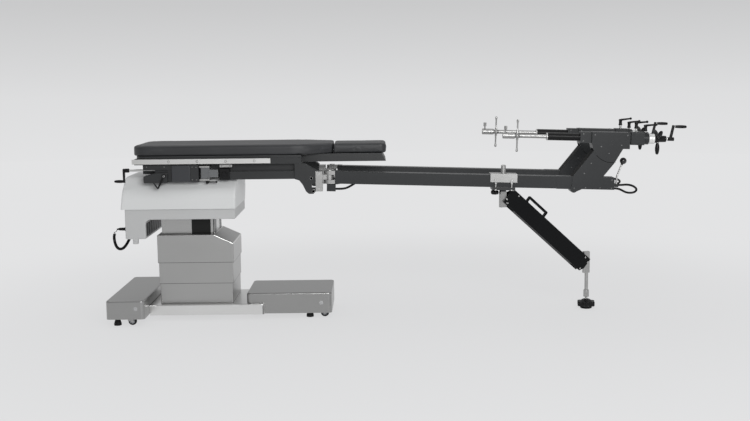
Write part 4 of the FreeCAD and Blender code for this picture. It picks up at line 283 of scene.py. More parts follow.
def new_group(name, inputs, outputs):
    tree = bpy.data.node_groups.new(name, "ShaderNodeTree")
    for label, kind, value in inputs:
        socket = tree.interface.new_socket(name=label, in_out="INPUT",
                                           socket_type="NodeSocket" + kind)
        if value is not None:
            socket.default_value = value
    for label, kind in outputs:
        tree.interface.new_socket(name=label, in_out="OUTPUT",
                                  socket_type="NodeSocket" + kind)
    return tree, tree.nodes.new("NodeGroupInput"), tree.nodes.new("NodeGroupOutput")


def grain_group():
    """Fine drawn grain: two layers of stretched noise, as a tone and a height."""
    tree, start, end = new_group(
        "Drawn grain", [("Vector", "Vector", None), ("Scale", "Float", 1.0)],
        [("Tone", "Float"), ("Height", "Float")])
    coarse = add(tree, "TexNoise", Detail_in=3.0, Roughness_in=0.6)
    fine = add(tree, "TexNoise", Detail_in=5.0, Roughness_in=0.75)
    triple = add(tree, "Math", operation="MULTIPLY")
    triple.inputs[1].default_value = 3.7
    mix = add(tree, "Math", operation="MULTIPLY_ADD")
    mix.inputs[1].default_value = 0.6
    tree.links.new(start.outputs["Vector"], coarse.inputs["Vector"])
    tree.links.new(start.outputs["Vector"], fine.inputs["Vector"])
    tree.links.new(start.outputs["Scale"], coarse.inputs["Scale"])
    tree.links.new(start.outputs["Scale"], triple.inputs[0])
    tree.links.new(triple.outputs[0], fine.inputs["Scale"])
    tree.links.new(fine.outputs["Fac"], mix.inputs[0])
    tree.links.new(coarse.outputs["Fac"], mix.inputs[2])
    tree.links.new(mix.outputs[0], end.inputs["Height"])
    tree.links.new(coarse.outputs["Fac"], end.inputs["Tone"])
    return tree


def wear_group():
    """Handling marks: soft clouds with fine speckles, as a mask from 0 to 1."""
    tree, start, end = new_group(
        "Handling marks",
        [("Vector", "Vector", None), ("Cloud scale", "Float", 4.0),
         ("Speckle scale", "Float", 160.0)],
        [("Cloud", "Float"), ("Speckle", "Float")])
    cloud = add(tree, "TexNoise", Detail_in=4.0, Roughness_in=0.55, Distortion_in=0.3)
    speckle = add(tree, "TexNoise", Detail_in=2.0, Roughness_in=0.7)
    soft = add(tree, "ValToRGB")
    soft.color_ramp.elements[0].position = 0.32
    soft.color_ramp.elements[1].position = 0.74
    hard = add(tree, "ValToRGB")
    hard.color_ramp.elements[0].position = 0.56
    hard.color_ramp.elements[1].position = 0.80
    for noise, scale in ((cloud, "Cloud scale"), (speckle, "Speckle scale")):
        tree.links.new(start.outputs["Vector"], noise.inputs["Vector"])
        tree.links.new(start.outputs[scale], noise.inputs["Scale"])
    tree.links.new(cloud.outputs["Fac"], soft.inputs["Fac"])
    tree.links.new(speckle.outputs["Fac"], hard.inputs["Fac"])
    tree.links.new(soft.outputs["Color"], end.inputs["Cloud"])
    tree.links.new(hard.outputs["Color"], end.inputs["Speckle"])
    return tree


def peel_group():
    """The fine dimpled skin of sprayed paint or moulded plastic."""
    tree, start, end = new_group(
        "Sprayed skin", [("Vector", "Vector", None), ("Scale", "Float", 900.0)],
        [("Height", "Float")])
    noise = add(tree, "TexNoise", Detail_in=1.5, Roughness_in=0.5)
    cells = add(tree, "TexVoronoi", feature="SMOOTH_F1")
    blend = add(tree, "Math", operation="MULTIPLY_ADD")
    blend.inputs[1].default_value = 0.5
    for texture in (noise, cells):
        tree.links.new(start.outputs["Vector"], texture.inputs["Vector"])
        tree.links.new(start.outputs["Scale"], texture.inputs["Scale"])
    tree.links.new(cells.outputs["Distance"], blend.inputs[0])
    tree.links.new(noise.outputs["Fac"], blend.inputs[2])
    tree.links.new(blend.outputs[0], end.inputs["Height"])
    return tree


def leather_group():
    """Embossed vinyl: fine pebbles between branching creases."""
    tree, start, end = new_group(
        "Vinyl grain", [("Vector", "Vector", None), ("Scale", "Float", 420.0)],
        [("Tone", "Float"), ("Height", "Float")])
    warp = add(tree, "TexNoise", Scale_in=60.0, Detail_in=2.0)
    moved = add(tree, "VectorMath", operation="MULTIPLY_ADD")
    moved.inputs[1].default_value = (0.004, 0.004, 0.004)
    pebbles = add(tree, "TexVoronoi", feature="DISTANCE_TO_EDGE")
    ramp = add(tree, "ValToRGB")
    ramp.color_ramp.elements[0].position = 0.02
    ramp.color_ramp.elements[1].position = 0.34
    tree.links.new(start.outputs["Vector"], warp.inputs["Vector"])
    tree.links.new(warp.outputs["Color"], moved.inputs[0])
    tree.links.new(start.outputs["Vector"], moved.inputs[2])
    tree.links.new(moved.outputs["Vector"], pebbles.inputs["Vector"])
    tree.links.new(start.outputs["Scale"], pebbles.inputs["Scale"])
    tree.links.new(pebbles.outputs["Distance"], ramp.inputs["Fac"])
    tree.links.new(ramp.outputs["Color"], end.inputs["Height"])
    tree.links.new(ramp.outputs["Color"], end.inputs["Tone"])
    return tree


GROUPS = {}
FINISH = {}


def mixed(colour, factor):
    return tuple(min(1.0, c * factor) for c in colour[:3]) + (1.0,)


def finish(name, colour, roughness, spread=0.10, metallic=0.0, skin="peel", scale=900.0,
           bump=0.05, stretch=None, cloud=4.0, lighter=1.25, coat=0.0, specular=0.5,
           depth=0.0004, sheen=0.0, rim=None):
    """A finish: two tones mixed by marks, a roughness that wanders, and a fine skin; with a rim,
    a painted shade darkens the colour where the surface turns away from view.
    """
    material = bpy.data.materials.new(name)
    material.use_nodes = True
    tree = material.node_tree
    shader = tree.nodes["Principled BSDF"]
    shader.inputs["Metallic"].default_value = metallic
    shader.inputs["Coat Weight"].default_value = coat
    shader.inputs["Coat Roughness"].default_value = 0.2
    shader.inputs["Specular IOR Level"].default_value = specular
    shader.inputs["Sheen Weight"].default_value = sheen
    shader.inputs["Sheen Roughness"].default_value = 0.4
    place = add(tree, "TexCoord")
    mapping = add(tree, "Mapping")
    mapping.inputs["Scale"].default_value = stretch or (1.0, 1.0, 1.0)
    tree.links.new(place.outputs["Object"], mapping.inputs["Vector"])
    marks = add(tree, "Group", node_tree=GROUPS["wear"])
    marks.inputs["Cloud scale"].default_value = cloud
    tree.links.new(place.outputs["Object"], marks.inputs["Vector"])
    surface = add(tree, "Group", node_tree=GROUPS[skin])
    surface.inputs["Scale"].default_value = scale
    tree.links.new(mapping.outputs["Vector"], surface.inputs["Vector"])
    tone = add(tree, "Mix", data_type="RGBA")
    tone.inputs["A"].default_value = mixed(colour, 1.0)
    tone.inputs["B"].default_value = mixed(colour, lighter)
    amount = add(tree, "Math", operation="MULTIPLY_ADD")
    amount.inputs[1].default_value = 0.45
    source = surface.outputs["Tone"] if "Tone" in surface.outputs else marks.outputs["Speckle"]
    tree.links.new(source, amount.inputs[0])
    half = add(tree, "Math", operation="MULTIPLY")
    half.inputs[1].default_value = 0.55
    tree.links.new(marks.outputs["Cloud"], half.inputs[0])
    tree.links.new(half.outputs[0], amount.inputs[2])
    tree.links.new(amount.outputs[0], tone.inputs["Factor"])
    shade = tone
    # A rim darkens the colour towards the outline as seen: a painted shade.
    if rim:
        painted_edge_shade = add(tree, "LayerWeight", Blend_in=0.5)
        edge = add(tree, "ValToRGB")
        edge.color_ramp.elements[0].position = 0.45
        edge.color_ramp.elements[0].color = (1.0, 1.0, 1.0, 1.0)
        edge.color_ramp.elements[1].position = 0.80
        edge.color_ramp.elements[1].color = (rim, rim, rim, 1.0)
        shade = add(tree, "Mix", data_type="RGBA", blend_type="MULTIPLY", Factor_in=1.0)
        tree.links.new(painted_edge_shade.outputs["Facing"], edge.inputs["Fac"])
        tree.links.new(tone.outputs["Result"], shade.inputs["A"])
        tree.links.new(edge.outputs["Color"], shade.inputs["B"])
    tree.links.new(shade.outputs["Result"], shader.inputs["Base Color"])
    rough = add(tree, "MapRange")
    rough.inputs["To Min"].default_value = roughness - spread / 2
    rough.inputs["To Max"].default_value = roughness + spread / 2
    tree.links.new(amount.outputs[0], rough.inputs["Value"])
    tree.links.new(rough.outputs["Result"], shader.inputs["Roughness"])
    if bump:
        relief = add(tree, "Bump")
        relief.inputs["Strength"].default_value = bump
        relief.inputs["Distance"].default_value = depth
        tree.links.new(surface.outputs["Height"], relief.inputs["Height"])
        tree.links.new(relief.outputs["Normal"], shader.inputs["Normal"])
    FINISH[name] = material
    return material


def make_finishes():
    look = bpy.context.scene.table_finishes
    GROUPS.update(grain=grain_group(), wear=wear_group(), peel=peel_group(),
                  leather=leather_group())
    finish("brushed_steel", look.steel, 0.36, metallic=1.0, skin="grain", scale=1.0,
           stretch=(4.0, 4.0, 420.0), bump=0.05, lighter=1.15, spread=0.12, cloud=1.6)
    # Painted shade: the base covers' steel is a darker copy of the brushed steel.
    finish("shaded_base_steel", mixed(look.steel, 0.82), 0.33, metallic=1.0, skin="grain",
           scale=1.0, stretch=(3.0, 260.0, 420.0), bump=0.05, lighter=1.18, spread=0.12,
           cloud=1.4)
    # Painted reflection: the chassis cover's steel is a lighter copy of the brushed steel, for
    # the floor reflected in it.
    finish("lit_chassis_steel", mixed(look.steel, 1.75), 0.30, metallic=1.0, skin="grain",
           scale=1.0, stretch=(3.0, 260.0, 420.0), bump=0.0, lighter=1.12, spread=0.10)
    finish("mast_steel", mixed(look.steel, 1.0), 0.24, metallic=1.0, skin="grain",
           scale=1.0, stretch=(260.0, 260.0, 3.0), bump=0.03, lighter=1.15, spread=0.10)
    # Near black for the dark rings beside the cross bars' collars, and for the mast's painted
    # dark reflections.
    finish("groove_and_reflection_black", (0.006, 0.0065, 0.006), 0.30, lighter=1.6, bump=0.03,
           specular=0.25)
    # Near black for the joint line under the traction heads, and as painted shade on the
    # uprights' slanting faces.
    finish("seam_and_shade_black", (0.0022, 0.0024, 0.0022), 0.55, lighter=1.5, bump=0.05,
           specular=0.05)
    # The rods' steel is darkened towards its outline by the rim: a painted shade.
    finish("rod_steel", (0.40, 0.40, 0.395), 0.34, metallic=0.9, skin="grain", scale=1.0,
           stretch=(600.0, 30.0, 30.0), bump=0.0, lighter=1.08, spread=0.06, rim=0.25)
    # Painted highlight: a lighter steel for broken edges, rims and the roof's lip.
    finish("steel_edge_highlight", (0.74, 0.74, 0.73), 0.30, metallic=1.0, skin="grain", scale=1.0,
           stretch=(60.0, 60.0, 60.0), bump=0.0, lighter=1.08)
    finish("steel_rail", (0.66, 0.66, 0.65), 0.44, metallic=1.0, skin="grain", scale=1.0,
           stretch=(2.0, 160.0, 160.0), bump=0.02, lighter=1.08)
    finish("housing_paint", look.housing, 0.40, lighter=1.05, coat=0.12, bump=0.03)
    # Painted highlight: a lighter paint for the housing's rims.
    finish("housing_edge_highlight", (0.80, 0.81, 0.81), 0.36, lighter=1.04, coat=0.12, bump=0.02)
    # Painted shade: the upper housing's paint, darkened because the lower housing faces down.
    finish("tub_paint_shaded", look.tub, 0.46, lighter=1.10, bump=0.05)
    finish("tub_edge", (0.62, 0.625, 0.63), 0.42, lighter=1.06, bump=0.03)
    finish("frame_coat", look.frame_paint, 0.46, lighter=1.7, bump=0.10, scale=700.0)
    # Painted highlight on the broken edges of black parts; the leg channel's ribs also take this
    # grey.
    finish("frame_ribs_and_edge_highlight", (0.060, 0.062, 0.065), 0.38, lighter=1.5, bump=0.06)
    finish("motor_grey", (0.030, 0.032, 0.036), 0.42, lighter=1.3, bump=0.08)
    finish("spar_coat", look.spar_paint, 0.42, lighter=1.5, bump=0.06, cloud=2.0,
           specular=0.4)
    # Painted highlight: a lighter paint for the broken edges of the spars and heads.
    finish("spar_edge_highlight", (0.070, 0.073, 0.076), 0.36, lighter=1.4, bump=0.04)
    finish("pad_vinyl", look.vinyl, 0.48, skin="leather", scale=420.0, lighter=1.55,
           bump=0.16, depth=0.0003, cloud=3.0, specular=0.5)
    finish("board_laminate", (0.020, 0.021, 0.022), 0.42, lighter=1.5, bump=0.04)
    # Darkened towards its outline by the rim: a painted shade.
    finish("polished_steel", (0.66, 0.66, 0.65), 0.30, metallic=0.9, skin="grain",
           scale=1.0, stretch=(300.0, 30.0, 30.0), bump=0.0, lighter=1.06, spread=0.06,
           rim=0.4)
    finish("cast_silver", look.silver, 0.42, metallic=0.85, lighter=1.2, bump=0.14,
           scale=520.0, spread=0.14)
    # Painted highlight on broken silver edges; also the colour of the hinge bolt heads and pin
    # caps.
    finish("silver_bolts_and_edge_highlight", (0.64, 0.64, 0.63), 0.34, metallic=0.95, lighter=1.1, bump=0.05)
    finish("black_plastic", (0.0055, 0.0055, 0.006), 0.40, lighter=1.9, bump=0.08,
           scale=1100.0, specular=0.22)
    # Painted highlight on broken plastic and rubber edges; also the colour of the hand control's
    # keys.
    finish("plastic_keys_and_edge_highlight", (0.022, 0.022, 0.024), 0.34, lighter=1.5, bump=0.03,
           specular=0.3)
    finish("rubber", (0.007, 0.007, 0.0075), 0.68, lighter=1.7, bump=0.12, scale=800.0,
           specular=0.2)
    finish("cap_grey", (0.42, 0.425, 0.43), 0.42, lighter=1.05, bump=0.03)
    finish("clamp_grey", (0.16, 0.165, 0.17), 0.44, metallic=0.6, lighter=1.2, bump=0.08)
    # Darkened towards its outline by the rim: a painted shade.
    finish("machined_ring", (0.80, 0.80, 0.79), 0.42, metallic=0.6, skin="grain",
           scale=1.0, stretch=(900.0, 30.0, 30.0), bump=0.0, lighter=1.06, rim=0.5)
    finish("ball_plastic", (0.010, 0.010, 0.011), 0.22, lighter=1.6, bump=0.02, coat=0.3)
    finish("arm_coat", (0.0046, 0.0050, 0.0056), 0.48, lighter=1.6, bump=0.08, scale=700.0,
           specular=0.12)
    finish("dark_screw", (0.20, 0.20, 0.20), 0.34, metallic=1.0, lighter=1.3, bump=0.03)
    finish("chassis_paint", (0.022, 0.023, 0.024), 0.50, lighter=1.3, bump=0.08)
    # Painted shade: the shadow band under the column covers and the dark reflection stripes at
    # the chassis cover's nose.
    finish("painted_shade_steel", (0.15, 0.15, 0.148), 0.40, metallic=0.8, lighter=1.2, bump=0.03)
    finish("control_grey", (0.30, 0.31, 0.33), 0.45, lighter=1.1, bump=0.10,
           scale=1300.0)


# Making and placing pieces

def settle(name, bm, materials, body, replaces=(), angle=32.0):
    """Turns a bmesh into a piece that rides on its body."""
    limit = math.radians(angle)
    for face in bm.faces:
        face.smooth = True
    for edge in bm.edges:
        edge.smooth = False
        if len(edge.link_faces) == 2:
            small, large = sorted(face.calc_area() for face in edge.link_faces)
            edge.smooth = edge.calc_face_angle(0.0) < limit and large < small * 14
    mesh = bpy.data.meshes.new(name)
    bm.to_mesh(mesh)
    bm.free()
    piece = bpy.data.objects.new(name, mesh)
    bpy.context.scene.collection.objects.link(piece)
    for material in materials:
        mesh.materials.append(FINISH[material])
    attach(piece, body)
    if replaces:
        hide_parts(*replaces)
    return piece


def broken_edges(piece, width, segments=2, angle=32.0, highlight_on_break=True):
    """Breaks the sharp edges of a piece, with the brighter edge finish on the break: a painted
    highlight along each edge.
    """
    bevel = piece.modifiers.new("broken_edges", "BEVEL")
    bevel.width = width
    bevel.segments = segments
    bevel.limit_method = "ANGLE"
    bevel.angle_limit = math.radians(angle)
    bevel.use_clamp_overlap = True
    bevel.harden_normals = True
    bevel.profile = 0.5
    if highlight_on_break:
        bevel.material = 1
    return bevel


def dressed(node, coat, edge, width=None, angle=32.0, segments=2, inlays=(), cut=None):
    """A copy of a machined node with broken edges and its finish, standing for it; the edge
    finish on the broken edges is a painted highlight.

    Each inlay is a finish with a test of a face's middle that says where it goes. A cut
    is a plane, as a point and a normal, that parts the faces for the tests.
    """
    bm = bmesh.new()
    bm.from_mesh(NODES[node].data)
    bmesh.ops.remove_doubles(bm, verts=bm.verts[:], dist=2e-5)
    bmesh.ops.dissolve_limit(bm, angle_limit=math.radians(0.6), use_dissolve_boundaries=False,
                             verts=bm.verts[:], edges=bm.edges[:], delimit=set())
    if cut:
        bmesh.ops.bisect_plane(bm, geom=bm.verts[:] + bm.edges[:] + bm.faces[:],
                               plane_co=cut[0], plane_no=cut[1])
    width = bpy.context.scene.table_sizes.edge if width is None else width
    for number, (_, wanted) in enumerate(inlays, start=2):
        for face in bm.faces:
            if wanted(face.calc_center_median(), face.normal):
                face.material_index = number
    piece = settle(node + "_made", bm, [coat, edge, *(name for name, _ in inlays)],
                   BODY_OF[node], replaces=(node,), angle=angle)
    broken_edges(piece, width, segments, angle)
    return piece


def painted(node, *materials):
    """Gives a kept node its finish."""
    slots = NODES[node].data.materials
    slots.clear()
    for material in materials:
        slots.append(FINISH[material])


def spline_curve(name, points, radius):
    """A smooth round cord through control points in metres."""
    data = bpy.data.curves.new(name, "CURVE")
    data.dimensions = "3D"
    line = data.splines.new("NURBS")
    line.points.add(len(points) - 1)
    for point, where in zip(line.points, points):
        point.co = (*where, 1.0)
    line.order_u = 3
    line.use_endpoint_u = True
    data.resolution_u = 6
    data.bevel_depth = radius
    data.bevel_resolution = 4
    data.use_fill_caps = True
    piece = bpy.data.objects.new(name, data)
    bpy.context.scene.collection.objects.link(piece)
    return piece


def line_points(name, points):
    """Points read along the smooth line through control points."""
    guide = spline_curve(name, points, 0.0)
    guide.data.resolution_u = 24
    mesh = bpy.data.meshes.new_from_object(guide)
    found = [v.co.copy() for v in mesh.vertices]
    bpy.data.meshes.remove(mesh)
    curve = guide.data
    bpy.data.objects.remove(guide)
    bpy.data.curves.remove(curve)
    return found


def travelled(points):
    total = 0.0
    distances = [0.0]
    for first, second in zip(points, points[1:]):
        total += (second - first).length
        distances.append(total)
    return distances


# Shapes, each a small bmesh that join() adds to a piece

def join(bm, part, material=0, matrix=None):
    """Adds a shape to a piece, with its finish and place."""
    bmesh.ops.remove_doubles(part, verts=part.verts[:], dist=1e-6)
    bmesh.ops.recalc_face_normals(part, faces=part.faces[:])
    if matrix is not None:
        bmesh.ops.transform(part, matrix=matrix, verts=part.verts[:])
    for face in part.faces:
        face.material_index = material
    mesh = bpy.data.meshes.new("shape")
    part.to_mesh(mesh)
    part.free()
    bm.from_mesh(mesh)
    bpy.data.meshes.remove(mesh)


def between(start, end):
    """The place of a shape whose Z axis runs from one point to another."""
    start, end = Vector(start), Vector(end)
    turn = (end - start).to_track_quat("Z", "X").to_matrix().to_4x4()
    return Matrix.Translation(start) @ turn


def spun(profile, start=(0, 0, 0), end=(0, 0, 1), steps=28):
    """A turned shape: a profile of (place, radius) spun about the line from start to end."""
    part = bmesh.new()
    verts = [part.verts.new((radius, 0, place)) for place, radius in profile]
    edges = [part.edges.new(pair) for pair in zip(verts, verts[1:])]
    bmesh.ops.spin(part, geom=verts + edges, cent=(0, 0, 0), axis=(0, 0, 1),
                   angle=2 * math.pi, steps=steps, use_merge=True, use_duplicate=False)
    bmesh.ops.remove_doubles(part, verts=part.verts[:], dist=1e-6)
    bmesh.ops.transform(part, matrix=between(start, end), verts=part.verts[:])
    return part


def bar(start, end, radius, edge=0.0008, steps=24):
    """A round bar with broken ends."""
    length = (Vector(end) - Vector(start)).length
    return spun([(0, 0), (0, radius - edge), (edge, radius), (length - edge, radius),
                 (length, radius - edge), (length, 0)], start, end, steps)


def tapered(start, end, first, last, edge=0.001, steps=24):
    length = (Vector(end) - Vector(start)).length
    return spun([(0, 0), (0, first - edge), (edge, first), (length - edge, last),
                 (length, last - edge), (length, 0)], start, end, steps)


def block(low, high, edge=0.001, segments=2):
    """A block with broken edges."""
    part = bmesh.new()
    bmesh.ops.create_cube(part, size=1.0)
    size = [top - bottom for bottom, top in zip(low, high)]
    middle = [(top + bottom) / 2 for bottom, top in zip(low, high)]
    bmesh.ops.scale(part, vec=size, verts=part.verts[:])
    bmesh.ops.translate(part, vec=middle, verts=part.verts[:])
    bmesh.ops.bevel(part, geom=part.edges[:], offset=edge, offset_type="OFFSET",
                    segments=segments, profile=0.5, affect="EDGES", material=-1)
    return part


def sphere(centre, radius, steps=24):
    part = bmesh.new()
    bmesh.ops.create_uvsphere(part, u_segments=steps, v_segments=steps // 2, radius=radius)
    bmesh.ops.translate(part, vec=centre, verts=part.verts[:])
    return part


def raised(points, low, high, edge=0.0):
    """An outline in the XY plane raised from low to high, with its rims broken."""
    part = bmesh.new()
    base = part.faces.new([part.verts.new((x, y, low)) for x, y in points])
    grown = bmesh.ops.extrude_face_region(part, geom=[base])
    tops = [item for item in grown["geom"] if isinstance(item, bmesh.types.BMVert)]
    bmesh.ops.translate(part, verts=tops, vec=(0, 0, high - low))
    if edge:
        rims = [e for e in part.edges if abs(e.verts[0].co.z - e.verts[1].co.z) < 1e-6]
        bmesh.ops.bevel(part, geom=rims, offset=edge, offset_type="OFFSET", segments=3,
                        profile=0.5, affect="EDGES", material=-1)
    bmesh.ops.recalc_face_normals(part, faces=part.faces[:])
    return part


def lobed(radius, depth, lobes, low, high, edge, points=12):
    """A knob whose rim goes in and out, such as a star knob or a knurled head."""
    count = lobes * points
    outline = []
    for number in range(count):
        angle = 2 * math.pi * number / count
        reach = radius - depth * (1 - math.cos(lobes * angle)) / 2
        outline.append((reach * math.cos(angle), reach * math.sin(angle)))
    return raised(outline, low, high, edge)


def strap(first, last, wide, narrow, low, high, edge=0.0015, steps=10):
    """A flat arm between two rounded ends, in the XY plane."""
    first, last = Vector((*first, 0)), Vector((*last, 0))
    heading = math.atan2(last.y - first.y, last.x - first.x)
    points = []
    for centre, radius, start in ((first, wide, heading + math.pi / 2),
                                  (last, narrow, heading - math.pi / 2)):
        for number in range(steps + 1):
            angle = start + math.pi * number / steps
            points.append((centre.x + radius * math.cos(angle),
                           centre.y + radius * math.sin(angle)))
    return raised(points, low, high, edge)


def oval(length, radius, neck, steps=12):
    """The profile of an oval grip."""
    swell = [(length * n / steps, neck + (radius - neck) * math.sin(math.pi * n / steps) ** 0.8)
             for n in range(1, steps)]
    return [(0, 0), (0, neck), *swell, (length - 0.0005, neck * 0.8), (length, 0)]


def screw(bm, place, outwards, radius=0.0035, height=0.0014, material=0):
    """A round screw head with its socket."""
    profile = [(height * 0.3, 0), (height * 0.3, radius * 0.5), (height, radius * 0.55),
               (height, radius * 0.86), (height * 0.75, radius), (-0.0005, radius)]
    place = Vector(place)
    join(bm, spun(profile, place, place + Vector(outwards), 18), material)


def hexagon(start, end, radius, edge=0.001):
    """A hexagonal nut between two points."""
    length = (Vector(end) - Vector(start)).length
    return spun([(0, 0), (0, radius - edge), (edge, radius), (length - edge, radius),
                 (length, radius - edge), (length, 0)], start, end, 6)


# Frames of the spars and of the support leg

DROOP = math.radians(1.88)
SPAR_PIVOT = Vector((-0.398, 0.0, 0.852))


def spar_matrix(side):
    place = Vector((SPAR_PIVOT.x, 0.210 * side, SPAR_PIVOT.z))
    return Matrix.Translation(place) @ Matrix.Rotation(DROOP, 4, "Y")


def swivel_matrix():
    return Matrix.Translation((0.629, -0.210, 0.0)) @ Matrix.Rotation(math.radians(21.1), 4, "Z")


def stated(matrix, points):
    """Points given in millimetres in a part's own frame, in metres in the table's."""
    return [matrix @ (Vector(point) * 0.001) for point in points]


# Pads

def outlined(points, low, high):
    """A solid slab over an outline, in metres."""
    bm = bmesh.new()
    corners = [bm.verts.new((x, y, low)) for x, y in points]
    base = bm.faces.new(corners)
    grown = bmesh.ops.extrude_face_region(bm, geom=[base])
    tops = [v for v in grown["geom"] if isinstance(v, bmesh.types.BMVert)]
    bmesh.ops.translate(bm, verts=tops, vec=(0, 0, high - low))
    bmesh.ops.recalc_face_normals(bm, faces=bm.faces[:])
    return bm


def upright_edges(bm, wanted):
    found = []
    for edge in bm.edges:
        a, b = edge.verts
        if abs(a.co.x - b.co.x) < 1e-5 and abs(a.co.y - b.co.y) < 1e-5 and wanted(a.co):
            found.append(edge)
    return found


def swell(piece, cap, pressure):
    """Fills a pad like a cushion: cells, cloth under pressure and a cap."""
    scene = bpy.context.scene
    voxel = scene.table_sizes.pad_voxel
    bpy.context.view_layer.objects.active = piece
    cells = piece.modifiers.new("cells", "REMESH")
    cells.mode = "VOXEL"
    cells.voxel_size = voxel
    graph = bpy.context.evaluated_depsgraph_get()
    mesh = bpy.data.meshes.new_from_object(piece.evaluated_get(graph))
    piece.modifiers.clear()
    piece.data = mesh
    rest = [v.co.copy() for v in mesh.vertices]
    cloth = piece.modifiers.new("cloth", "CLOTH")
    cloth.settings.quality = 4
    cloth.settings.mass = 0.3
    cloth.settings.tension_stiffness = 20
    cloth.settings.compression_stiffness = 20
    cloth.settings.bending_stiffness = 3
    cloth.settings.use_pressure = True
    cloth.settings.uniform_pressure_force = pressure
    cloth.settings.effector_weights.gravity = 0.0
    cloth.point_cache.frame_start = 1
    cloth.point_cache.frame_end = 20
    for step in range(1, 21):
        scene.frame_set(step)
    graph = bpy.context.evaluated_depsgraph_get()
    blown = bpy.data.meshes.new_from_object(piece.evaluated_get(graph))
    piece.modifiers.clear()
    piece.data = blown
    for vertex, was in zip(blown.vertices, rest):
        move = vertex.co - was
        if move.length > cap:
            vertex.co = was + move * (cap / move.length)
    scene.frame_set(1)
    return piece


class OPERATING_TABLE_OT_pads(bpy.types.Operator):
    """Makes the two vinyl pads as stuffed pieces."""
    bl_idname = "operating_table.pads"
    bl_label = "Pads"

    def execute(self, context):
        main_plan = [(-1.5595, -0.257), (-0.560, -0.257), (-0.3780, -0.147),
                     (-0.3780, 0.147), (-0.560, 0.257), (-1.5595, 0.257)]
        seat_plan = [(-0.3765, -0.147), (-0.0585, -0.147), (-0.0585, 0.147),
                     (-0.3765, 0.147)]
        for name, plan, node, top in (("main_cushion", main_plan, "main_pad", 1.0465),
                                      ("seat_cushion", seat_plan, "seat_pad", 1.0435)):
            bm = outlined(plan, 0.9885, top)
            if node == "main_pad":
                edges = upright_edges(bm, lambda p: p.x < -1.5)
                bmesh.ops.bevel(bm, geom=edges, offset=0.092, segments=10, profile=0.5,
                                affect="EDGES", material=-1, offset_type="OFFSET")
                edges = upright_edges(bm, lambda p: -0.6 < p.x < -0.5)
                bmesh.ops.bevel(bm, geom=edges, offset=0.06, segments=6, profile=0.5,
                                affect="EDGES", material=-1, offset_type="OFFSET")
            else:
                edges = upright_edges(bm, lambda p: p.x > -0.1)
                bmesh.ops.bevel(bm, geom=edges, offset=0.035, segments=6, profile=0.5,
                                affect="EDGES", material=-1, offset_type="OFFSET")
            rims = [e for e in bm.edges if abs(e.verts[0].co.z - e.verts[1].co.z) < 1e-6
                    and e.verts[0].co.z > 1.0 and len(e.link_faces) == 2
                    and not all(-0.39 < v.co.x < -0.37 for v in e.verts)
                    and e.calc_face_angle(0.0) > 0.5]
            bmesh.ops.bevel(bm, geom=rims, offset=0.012, segments=4, profile=0.5,
                            affect="EDGES", material=-1, offset_type="OFFSET")
            rims = [e for e in bm.edges if abs(e.verts[0].co.z - e.verts[1].co.z) < 1e-6
                    and e.verts[0].co.z < 0.99 and len(e.link_faces) == 2
                    and e.calc_face_angle(0.0) > 0.5]
            bmesh.ops.bevel(bm, geom=rims, offset=0.006, segments=3, profile=0.5,
                            affect="EDGES", material=-1, offset_type="OFFSET")
            piece = settle(name, bm, ["pad_vinyl"], BODY_OF[node],
                           replaces=(node,), angle=180)
            swell(piece, 0.0035, 2.0)
            for face in piece.data.polygons:
                face.use_smooth = True
            if len(piece.data.polygons) < 20000:
                smoother = piece.modifiers.new("smoother", "SUBSURF")
                smoother.levels = smoother.render_levels = 1
        return {"FINISHED"}


# Cords

LEAD_ROUTE = [(-1644, -200, 552), (-1664, -200, 552), (-1681, -199, 536)]
CURL_ROUTE = [(-1681, -199, 536), (-1691, -198, 510), (-1690, -190, 474), (-1684, -172, 440),
              (-1675, -142, 422), (-1664, -104, 418), (-1653, -66, 430), (-1643, -32, 454),
              (-1635, -4, 480), (-1630, 19, 508), (-1627, 28, 536.5)]
HINGE_HOSE = [(38, 0, -70), (68, 0, -70), (97, 0, -66), (124, 0, -53), (152, 0, -34)]
LOOP_HOSE = [(1710, 26, -13), (1738, 26, -13), (1766, 25, -9), (1794, 18, -12),
             (1815, 2, -22), (1820, -18, -36), (1803, -34, -48), (1776, -38, -53),
             (1748, -37, -49), (1724, -35, -36), (1702, -35, -28), (1680, -35, -28)]


TURN_POINTS = 12


def curly_points(route, turns, radius, lead_share, run_out):
    """The wire's own points: straight in the lead, then wound round the route's line.

    The first and the last turn are drawn out over a length of their own, so that the
    wire runs into the curl without a kink.
    """
    line = line_points("cord_guide", route)
    distances = travelled(line)
    total = distances[-1]
    steps = turns * TURN_POINTS
    points = []
    side = Vector((0, 1, 0))
    index = 0
    start, stop = total * lead_share, total * 0.985
    pitch = (stop - start - 2 * run_out) / (steps - 2 * TURN_POINTS)
    lead_steps = 8
    for number in range(lead_steps):
        target = start * number / lead_steps
        while index < len(line) - 2 and distances[index + 1] < target:
            index += 1
        share = (target - distances[index]) / (distances[index + 1] - distances[index])
        points.append(line[index].lerp(line[index + 1], share))
    for number in range(steps + 1):
        ends = min(number, TURN_POINTS) + max(0, number - steps + TURN_POINTS)
        target = start + ends * run_out / TURN_POINTS + (number - ends) * pitch
        while index < len(line) - 2 and distances[index + 1] < target:
            index += 1
        share = (target - distances[index]) / (distances[index + 1] - distances[index])
        heading = (line[index + 1] - line[index]).normalized()
        side = (side - heading * side.dot(heading)).normalized()
        across = heading.cross(side)
        turn = 2 * math.pi * number / TURN_POINTS
        grow = min(1.0, number / TURN_POINTS, (steps - number) / TURN_POINTS)
        offset = (side * math.cos(turn) + across * math.sin(turn)) * radius * grow
        points.append(line[index].lerp(line[index + 1], share) + offset)
    points.append(line[-1])
    return points


